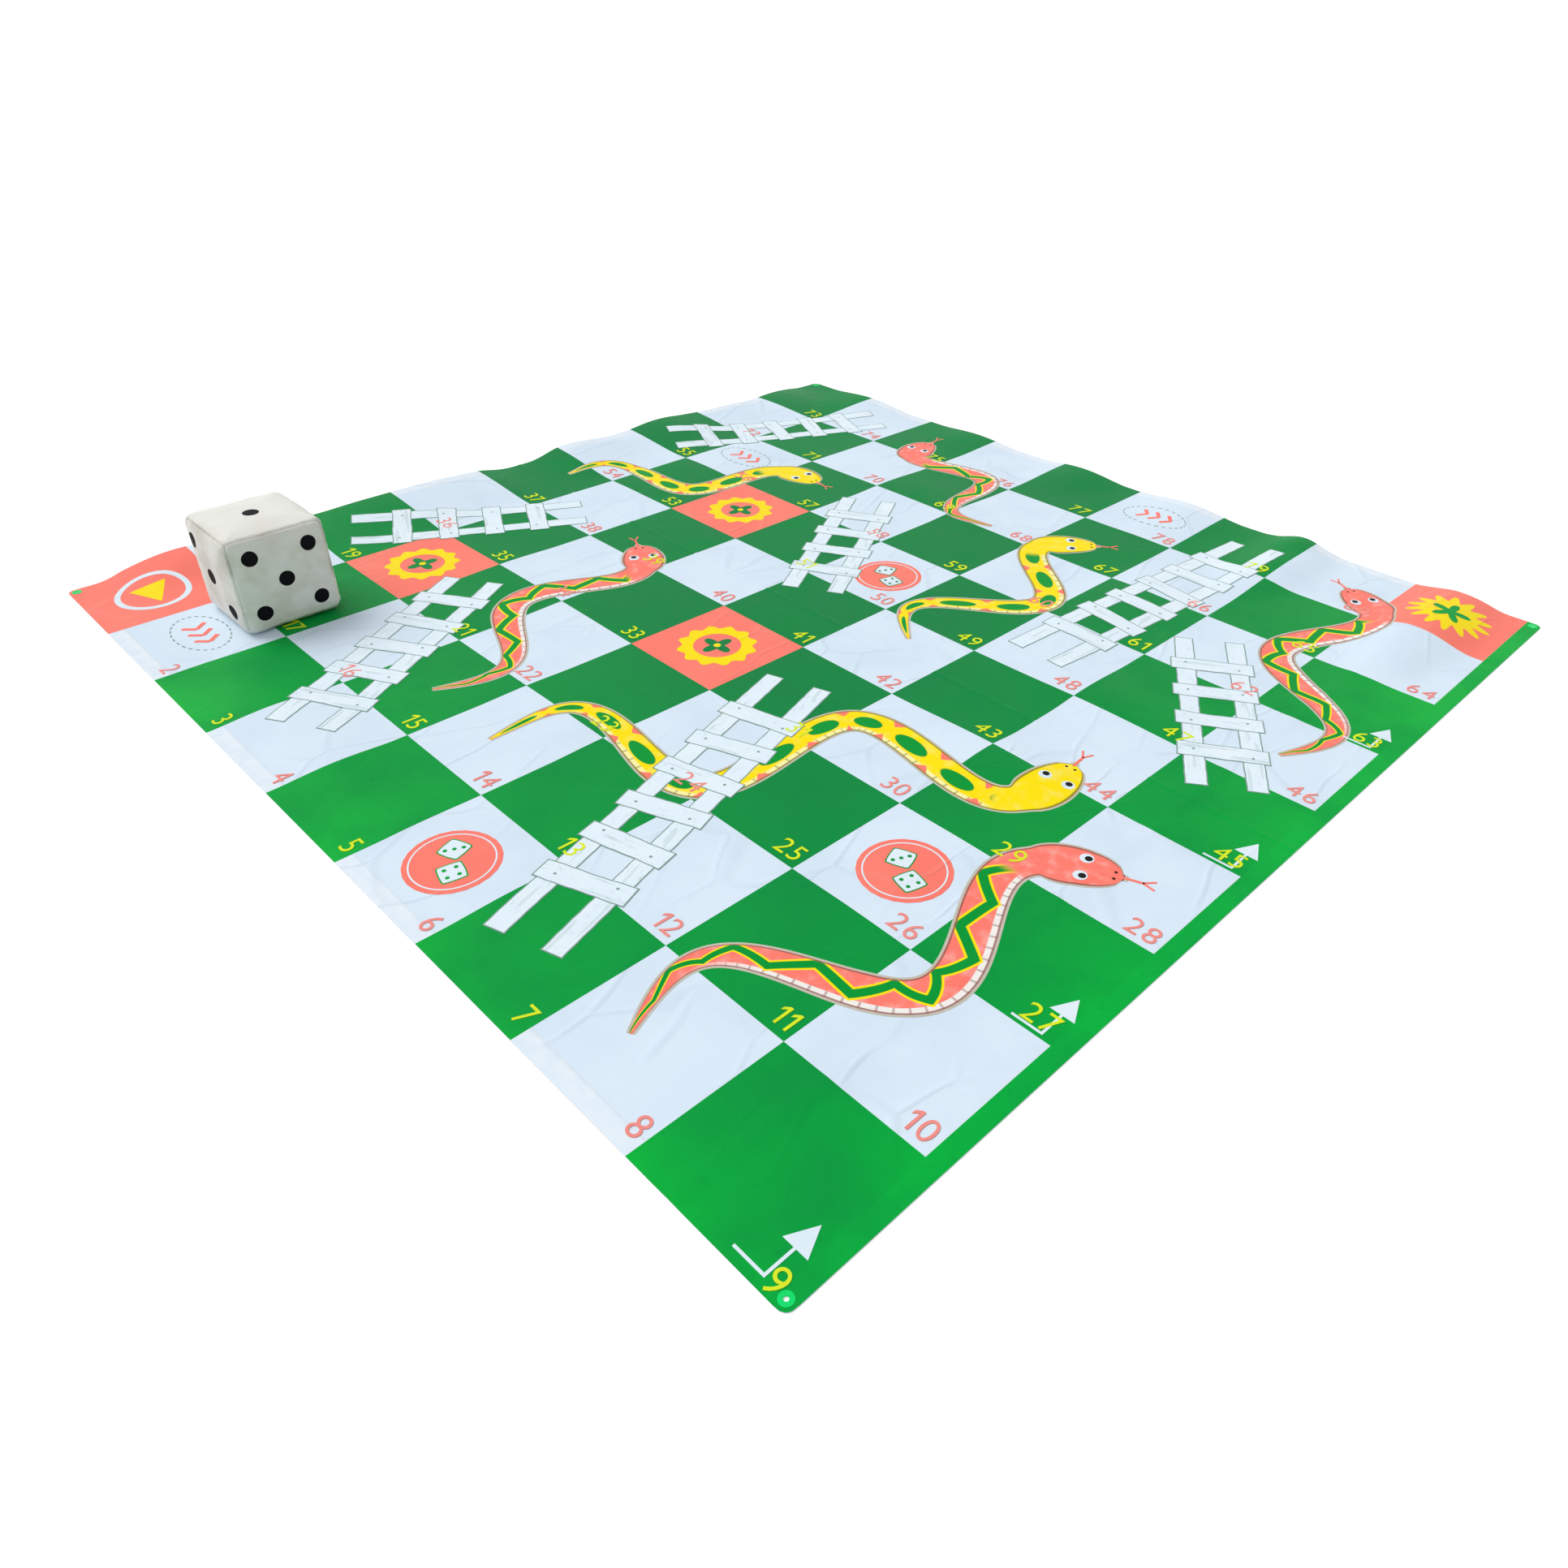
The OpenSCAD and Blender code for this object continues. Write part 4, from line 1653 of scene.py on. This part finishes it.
    def finish_sign(self) -> None:
        """Print the last square's star on its burst of rays."""
        centre = self.board.at(8.5, 8.5)
        star = lobes(0.038, 0.020, 5, math.pi / 2)
        self.ring(centre, lobes(0.098, 0.022, 14), 0.0, Layer.FIGURE, Ink.YELLOW, 112, 6)
        self.ring(centre, star, 0.0, Layer.DETAIL, Ink.GREEN, 80, 4)


def print_signs(board: Board, inks: dict[Ink, Material]) -> None:
    """Print every sign on both halves.

    Args:
        board: The board they lie on.
        inks: The inks they take.
    """
    for half in Half:
        rings = Signs(f"petal_rings_{half.end}", board, inks)
        for square in RINGS[half]:
            rings.petal_ring(square)
        rings.lay(half, "yellow_ink", f"yellow_rings_{half.end}")
        discs = Signs(f"coral_discs_{half.end}", board, inks)
        for place in DISCS[half]:
            discs.dice_disc(place)
        discs.lay(half, "coral_ink", f"coral_ink_{half.end}")
        signs = Signs(f"signs_{half.end}", board, inks)
        for place in OVALS[half]:
            signs.oval(place)
        for row in TURNS[half]:
            signs.turn_arrow(row)
        if half is Half.NEAR:
            signs.start_sign()
        else:
            signs.finish_sign()
        signs.lay(half, "pale_ink")


@dataclass
class SoftDie:
    """The jumbo die: foam in a sewn cover, blown up by a short cloth run, with its seams and pips."""

    board: Board
    side: float = 0.275
    edge: float = 0.028
    slack: float = 0.0015
    voxel: float = 0.006
    pressure: float = 4.0
    frames: int = 20
    cap: float = 0.005
    sewn_reach: tuple[float, float] = (0.004, 0.020)
    seam_half: float = 0.0065
    seam_depth: float = 0.0016
    pucker: float = 0.0011
    pucker_reach: tuple[float, float] = (0.006, 0.055)
    pucker_scales: tuple[float, float] = (62.0, 120.0)
    dent: float = 0.0016
    dent_scale: float = 11.0
    dent_seed: tuple[float, float, float] = (3.0, 1.0, 7.0)
    floor_gap: float = 0.0004
    pip_radius: float = 0.021
    pip_reach: float = 0.078
    pip_lift: float = 0.0005
    pip_depth: float = 0.0012
    stitch_count: int = 26
    stitch_inset: float = 0.030
    stitch_half: tuple[float, float, float] = (0.0011, 0.0048, 0.0010)
    tree: BVHTree = field(init=False)

    def blank(self) -> Object:
        """Make the slack cover before it is filled, centred on the origin.

        Returns:
            The remeshed cover.
        """
        mesh = bmesh.new()
        bmesh.ops.create_cube(mesh, size=self.side - 2 * self.slack)
        shape = {"affect": "EDGES", "segments": 6, "profile": 0.5, "material": -1}
        bmesh.ops.bevel(mesh, geom=mesh.edges[:], offset=self.edge, **shape)
        rough = mesh_piece("die_blank", mesh, [])
        remesh = rough.modifiers.new("even", "REMESH")
        remesh.mode = "VOXEL"
        remesh.voxel_size = self.voxel
        return place_object("die_cover", settle(rough))

    def fill(self, cover: Object) -> None:
        """Blow the cover up between its sewn edges.

        Args:
            cover: The slack cover, whose mesh is changed.
        """
        rest = [vert.co.copy() for vert in cover.data.vertices]
        sewn = cover.vertex_groups.new(name="sewn")
        for index, place in enumerate(rest):
            share = self.seam_share(place, *self.sewn_reach)
            if share > 0:
                sewn.add([index], share, "REPLACE")
        cloth = cover.modifiers.new("cloth", "CLOTH")
        cloth.settings.use_pressure = True
        cloth.settings.uniform_pressure_force = self.pressure
        cloth.settings.effector_weights.gravity = 0.0
        cloth.settings.vertex_group_mass = "sewn"
        scene = bpy.context.scene
        for step in range(1, self.frames + 1):
            scene.frame_set(step)
        moved = [vert.co.copy() for vert in evaluated(cover).data.vertices]
        cover.modifiers.remove(cloth)
        cover.vertex_groups.remove(sewn)
        for vert, before, after in zip(cover.data.vertices, rest, moved):
            shift = after - before
            vert.co = before + shift * min(1.0, self.cap / max(shift.length, 1e-9))
        scene.frame_set(1)

    def seam_share(self, place: Vector, start: float, end: float) -> float:
        """Tell how near the seam a place of the centred cover is: 1 within start, 0 past end."""
        far = sorted(abs(part) for part in place)
        return 1 - ease(far[2] - far[1], start, end)

    def sew(self, cover: Object) -> None:
        """Sink the seams, pucker the cloth beside them and flatten the underside.

        Args:
            cover: The filled cover, whose mesh is changed.
        """
        floor = self.floor_gap - self.side / 2
        coarse, fine = self.pucker_scales
        for vert in cover.data.vertices:
            place = vert.co.copy()
            groove = self.seam_share(place, 0.0, self.seam_half)
            beside = self.seam_share(place, *self.pucker_reach) * (1 - groove)
            wave = noise.noise(place * coarse) + 0.5 * noise.noise(place * fine)
            dents = noise.noise(place * self.dent_scale + Vector(self.dent_seed))
            shift = dents * self.dent + beside * wave * self.pucker - groove * self.seam_depth
            moved = place + place.normalized() * shift
            moved.z = max(moved.z, floor)
            vert.co = moved

    def build(self, leathercloth: Material, thread: Material, pip: Material) -> None:
        """Make the die.

        Args:
            leathercloth: The cover's material.
            thread: The seam thread's material.
            pip: The pips' ink.
        """
        cover = self.blank()
        self.fill(cover)
        smooth = cover.modifiers.new("smooth", "SUBSURF")
        smooth.levels = 1
        smooth.render_levels = 1
        cover = place_object("die_cushion", settle(cover))
        self.sew(cover)
        self.tree = BVHTree.FromPolygons(
            [vert.co.copy() for vert in cover.data.vertices],
            [tuple(face.vertices) for face in cover.data.polygons],
        )
        cover.data.transform(Matrix.Translation(self.board.die_at))
        for face in cover.data.polygons:
            face.use_smooth = True
        cover.data.materials.append(leathercloth)
        faces = self.pips(pip)
        seat(cover, "die", "die_cover", "die_core", *(f"die_panel_{name}" for name in faces))
        self.stitches(thread)

    def drop(self, place: Vector, outward: Vector) -> Vector:
        """Give where a place on the centred die meets its cover, looking in from outside."""
        return self.tree.ray_cast(place + outward * self.side, -outward)[0]

    def dress(self, name: str, mesh: Mesh, finish: Material, slot: str, *nodes: str) -> None:
        """Bring a centred mesh to the die's place, as a piece that stands for some of the frame's nodes."""
        bmesh.ops.translate(mesh, verts=mesh.verts[:], vec=self.board.die_at)
        seat(mesh_piece(name, mesh, [finish]), "die", slot, *nodes)

    def pips(self, finish: Material) -> list[str]:
        """Print the spots on the six faces.

        Args:
            finish: The pips' ink.

        Returns:
            The faces' names.
        """
        diagonal = ((-1, 1), (1, -1))
        corners = diagonal + ((-1, -1), (1, 1))
        middle = ((0, 0),)
        x, y, z = AXES
        faces = {
            "one": (z, x, middle),
            "two": (-x, -y, diagonal),
            "three": (-y, x, diagonal + middle),
            "four": (y, -x, corners),
            "five": (x, y, corners + middle),
            "six": (-z, x, corners + ((-1, 0), (1, 0))),
        }
        for name, (outward, across, spots) in faces.items():
            mesh = bmesh.new()
            for spot in spots:
                self.pip(mesh, outward, across, spot)
            self.dress(f"die_spots_{name}", mesh, finish, "pip_black", f"die_pips_{name}")
        return list(faces)

    def pip(self, mesh: Mesh, outward: Vector, across: Vector, spot: Place) -> None:
        """Add one spot, pressed onto the cover.

        Args:
            mesh: The face's spots.
            outward: The face's direction.
            across: The face's first axis.
            spot: Its place in shares of the reach.
        """
        upward = outward.cross(across)
        centre = (across * spot[0] + upward * spot[1]) * self.pip_reach

        def place(angle: float, share: float) -> Vector:
            """Drop a place of the round spot onto the cover."""
            turned = across * math.cos(angle) + upward * math.sin(angle)
            return self.drop(centre + turned * (self.pip_radius * share), outward) + outward * self.pip_lift

        under = extrude(mesh, bend_round(mesh, sides=40, rows=6, place=place))
        bmesh.ops.translate(mesh, verts=under, vec=outward * -self.pip_depth)

    def stitches(self, finish: Material) -> None:
        """Sew a row of stitches across each seam that can be seen.

        Args:
            finish: The thread's material.
        """
        mesh = bmesh.new()
        reach = self.side / 2 - self.stitch_inset
        for main, first, second in (AXES, AXES[1:] + AXES[:1], AXES[2:] + AXES[:2]):
            for sign_a, sign_b in product((-1, 1), repeat=2):
                outward = (first * sign_a + second * sign_b).normalized()
                if outward.z < -0.5:
                    continue
                for step in range(self.stitch_count):
                    along = main * (-reach + 2 * reach * step / (self.stitch_count - 1))
                    self.stitch(mesh, along, outward, main)
        self.dress("die_stitches", mesh, finish, "die_cover")

    def stitch(self, mesh: Mesh, along: Vector, outward: Vector, main: Vector) -> None:
        """Add one stitch.

        Args:
            mesh: The thread's mesh.
            along: The stitch's place along the edge.
            outward: Away from the edge.
            main: The edge's direction.
        """
        hit = self.drop(along, outward)
        axes = (main, outward.cross(main), outward)
        for vert in bmesh.ops.create_icosphere(mesh, subdivisions=1, radius=1.0)["verts"]:
            parts = zip(axes, vert.co.copy(), self.stitch_half)
            vert.co = hit + sum((axis * (share * half) for axis, share, half in parts), Vector())


@dataclass
class Studio:
    """The camera at the photograph's angle, the soft light and the pale floor."""

    focal_px: float = 1425.7
    axis_px: float = 1030.0
    place: tuple[float, float, float] = (2.1350, -2.0711, 1.5422)
    heading: float = math.radians(44.10)
    tilt: float = math.radians(35.94)
    roll: float = math.radians(1.63)
    sensor: float = 36.0
    view_end: float = 200.0
    sky: float = 0.50
    lamp_share: float = 0.50
    lamp_from: tuple[float, float, float] = (-0.70, -0.30, 1.0)
    lamp_spread: float = math.radians(40.0)
    floor_half: float = 14.0
    floor_drop: float = 0.0006
    floor_shade: Colour = (0.86, 0.86, 0.86, 1.0)
    floor_lift: float = 0.24

    def camera(self) -> None:
        """Place the camera."""
        data = bpy.data.cameras.new("camera")
        data.sensor_width = self.sensor
        data.lens = self.sensor * self.focal_px / PHOTO_SIDE
        data.shift_x = (PHOTO_SIDE / 2 - self.axis_px) / PHOTO_SIDE
        data.clip_end = self.view_end
        made = place_object("camera", data)
        turn = Matrix.Rotation(self.heading, 4, "Z") @ Matrix.Rotation(math.pi / 2 - self.tilt, 4, "X")
        made.matrix_world = Matrix.Translation(self.place) @ turn @ Matrix.Rotation(self.roll, 4, "Z")
        bpy.context.scene.camera = made

    def lamp(self) -> None:
        """Light the scene from above with one wide soft source."""
        data = bpy.data.lights.new("soft_lamp", "SUN")
        data.angle = self.lamp_spread
        towards = Vector(self.lamp_from).normalized()
        data.energy = self.lamp_share * math.pi / towards.z
        made = place_object("soft_lamp", data)
        made.rotation_euler = towards.to_track_quat("Z", "Y").to_euler()

    def seen_directly(self, nodes: Nodes) -> Wire:
        """Give 1 for what the camera sees, straight or through gloss and glass."""
        rays = ("Is Camera Ray", "Is Glossy Ray", "Is Transmission Ray")
        return nodes.largest(*nodes.outputs(nodes.node("ShaderNodeLightPath"), *rays))

    def world(self) -> None:
        """Fill the world with even light and a white view."""
        world = bpy.data.worlds.new("studio")
        world.use_nodes = True
        bpy.context.scene.world = world
        nodes = Nodes(world.node_tree)
        strength = self.sky + self.seen_directly(nodes) * (1.0 - self.sky)
        back = nodes.node("ShaderNodeBackground", None, {"Color": (1, 1, 1, 1), "Strength": strength})
        nodes.close(back, "ShaderNodeOutputWorld")

    def floor(self) -> None:
        """Lay the pale floor, which takes the shadow and otherwise looks white."""
        mesh = bmesh.new()
        bmesh.ops.create_grid(mesh, x_segments=4, y_segments=4, size=self.floor_half)
        bmesh.ops.translate(mesh, verts=mesh.verts[:], vec=(0, 0, -self.floor_drop))
        material, nodes = new_material("pale_floor")
        shadow = nodes.node("ShaderNodeBsdfDiffuse", None, {"Color": self.floor_shade})
        strength = self.seen_directly(nodes) * self.floor_lift
        lift = nodes.node("ShaderNodeEmission", None, {"Strength": strength})
        nodes.close(nodes.node("ShaderNodeAddShader", None, {0: shadow, 1: lift}))
        mesh_piece("floor", mesh, [material])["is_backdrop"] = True

    def build(self) -> None:
        """Set up the whole studio."""
        self.camera()
        self.lamp()
        self.world()
        self.floor()
        bpy.context.scene.view_settings.view_transform = "Standard"


GREEN = ink(0, 182, 60)
GREEN_WORN = ink(6, 138, 64)
# Painted shade and sheen colour for the green's far and middle part.
GREEN_SHEEN_AND_SHADE = ink(0, 127, 64)
STRIP_GREEN = ink(0, 178, 63)
MARK_GREEN = ink(0, 150, 54)
WHITE = ink(221, 237, 251)
WHITE_WORN = ink(208, 225, 241)
CORAL = ink(255, 127, 112)
YELLOW = ink(255, 228, 8)
PALE = ink(228, 242, 252)

PRINTS = (
    PrintedCloth("coral_print", CORAL, ink(254, 142, 126)),
    PrintedCloth("yellow_print", YELLOW, ink(251, 224, 44)),
    PrintedCloth("lemon_print", ink(224, 240, 36), ink(212, 230, 56)),
    PrintedCloth("blush_print", ink(243, 146, 138), ink(242, 158, 150)),
    PrintedCloth("pale_print", PALE, ink(218, 235, 246)),
    PlainFinish("outline_print", ink(132, 160, 150), ink(160, 184, 176)),
    PlainFinish("rim_print", ink(196, 190, 176), ink(208, 206, 196)),
    PlainFinish("dark_print", ink(20, 24, 22), ink(40, 46, 42)),
    PlankInk("plank_print", PALE, ink(150, 180, 172)),
)
SKINS = {
    "coral": SnakeSkin(
        "coral_snake",
        Pattern.ZIGZAG,
        body=CORAL,
        belly=ink(244, 240, 236),
        mark=MARK_GREEN,
        accent=YELLOW,
        outline=ink(150, 92, 84),
        pitch=0.115,
    ),
    "yellow": SnakeSkin(
        "yellow_snake",
        Pattern.SPOTS,
        body=YELLOW,
        belly=ink(252, 244, 170),
        mark=MARK_GREEN,
        accent=CORAL,
        outline=ink(128, 120, 40),
        pitch=0.105,
    ),
}
PIP_INK = PlainFinish("pip_ink", ink(14, 14, 17), ink(26, 26, 30), 0.55)
THREAD = PlainFinish("seam_thread", ink(230, 229, 220), ink(200, 197, 184), 0.7, gloss=0.5)
ENAMEL = PlainFinish("green_enamel", ink(0, 222, 108), ink(0, 204, 98), 0.35, grain=140.0, gloss=0.15)

SNAKES = (
    Snake("snake_coral_near_right", Half.NEAR, (7.4, 0.45), (8.5, 3.45), 3, 0.125),
    Snake("snake_yellow_near", Half.NEAR, (4.45, 1.4), (7.55, 4.25), 4, 0.150),
    Snake("snake_coral_near_left", Half.NEAR, (3.55, 1.45), (2.5, 4.2), 3, -0.100),
    Snake("snake_yellow_far_left", Half.FAR, (0.55, 4.75), (2.5, 6.6), 3, 0.100),
    Snake("snake_coral_far_left", Half.FAR, (4.5, 7.1), (2.5, 8.45), 3, 0.100),
    Snake("snake_yellow_far_right", Half.FAR, (5.5, 4.75), (5.5, 7.5), 3, 0.125),
    Snake("snake_coral_far_right", Half.FAR, (8.5, 5.45), (7.6, 8.45), 3, -0.105),
)
LADDERS = (
    Ladder("ladder_ink_centre", Half.NEAR, (6.35, 0.6), (5.45, 3.4)),
    Ladder("ladder_ink_left", Half.NEAR, (3.3, 0.65), (2.22, 2.5)),
    Ladder("ladder_ink_edge", Half.NEAR, (0.55, 2.5), (1.4, 4.12)),
    Ladder("ladder_ink_right", Half.FAR, (8.35, 4.95), (7.35, 6.45)),
    Ladder("ladder_ink_middle", Half.FAR, (4.2, 4.95), (3.3, 6.5)),
    Ladder("ladder_ink_far", Half.FAR, (6.4, 5.5), (6.6, 8.4)),
    Ladder("ladder_ink_corner", Half.FAR, (0.55, 6.4), (1.45, 8.4)),
)


def build_mat(board: Board) -> None:
    """Make the sheet and all that is printed on it.

    Args:
        board: The board.
    """
    white = PrintedCloth("coated_cloth", WHITE, WHITE_WORN, hem_reach=0.040).make()
    green = PrintedCloth(
        "green_print",
        GREEN,
        GREEN_WORN,
        crinkle=0.16,
        strip_start=board.at(board.count, 0).x,
        strip_colour=STRIP_GREEN,
        trodden=GREEN_SHEEN_AND_SHADE,
    ).make()
    prints = {finish.name.removesuffix("_print"): finish.make() for finish in PRINTS}
    prints["green"] = green

    def chosen(*names: Ink) -> dict[Ink, Material]:
        """Give the materials of some inks."""
        return {name: prints[name.value] for name in names}

    MatSheet(board).build(white, green, prints["coral"])
    skins = {colour: skin.make() for colour, skin in SKINS.items()}
    face = chosen(Ink.PALE, Ink.DARK, Ink.CORAL, Ink.RIM)
    for snake in SNAKES:
        colour = snake.node.split("_")[1]
        snake.build(board, {Ink.SKIN: skins[colour]} | face, f"{colour}_ink")
    for ladder in LADDERS:
        ladder.build(board, chosen(Ink.PLANK, Ink.OUTLINE))
    Numbers(board).build(prints["lemon"], prints["blush"])
    print_signs(board, chosen(Ink.PALE, Ink.GREEN, Ink.CORAL, Ink.YELLOW, Ink.OUTLINE))


def build_die(board: Board) -> None:
    """Make the die and its finishes.

    Args:
        board: The board that it stands on.
    """
    die = SoftDie(board)
    cover = DieCover(
        "die_leathercloth",
        colour=ink(250, 250, 244),
        grime=ink(206, 201, 180),
        # Seam line colour, painted shade along the side seams.
        seam=ink(128, 125, 110),
        side=die.side,
        place=board.die_at,
    )
    die.build(cover.make(), THREAD.make(), PIP_INK.make())


def dress_eyelets(frame: dict[str, Any]) -> None:
    """Give the frame's eyelets and washers their enamel.

    Args:
        frame: The loaded frame.
    """
    enamel = ENAMEL.make()
    for name in ("eyelets_near", "eyelets_far", "washers_near", "washers_far"):
        data = frame["nodes"][name].data
        data.materials.clear()
        data.materials.append(enamel)


def main() -> None:
    """Build the studio, the mat, its prints and the die."""
    logging.basicConfig(level=logging.INFO, format="%(name)s %(message)s")
    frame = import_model()
    Studio().build()
    board = Board()
    build_mat(board)
    build_die(board)
    dress_eyelets(frame)
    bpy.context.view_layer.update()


if __name__ == "__main__":
    main()
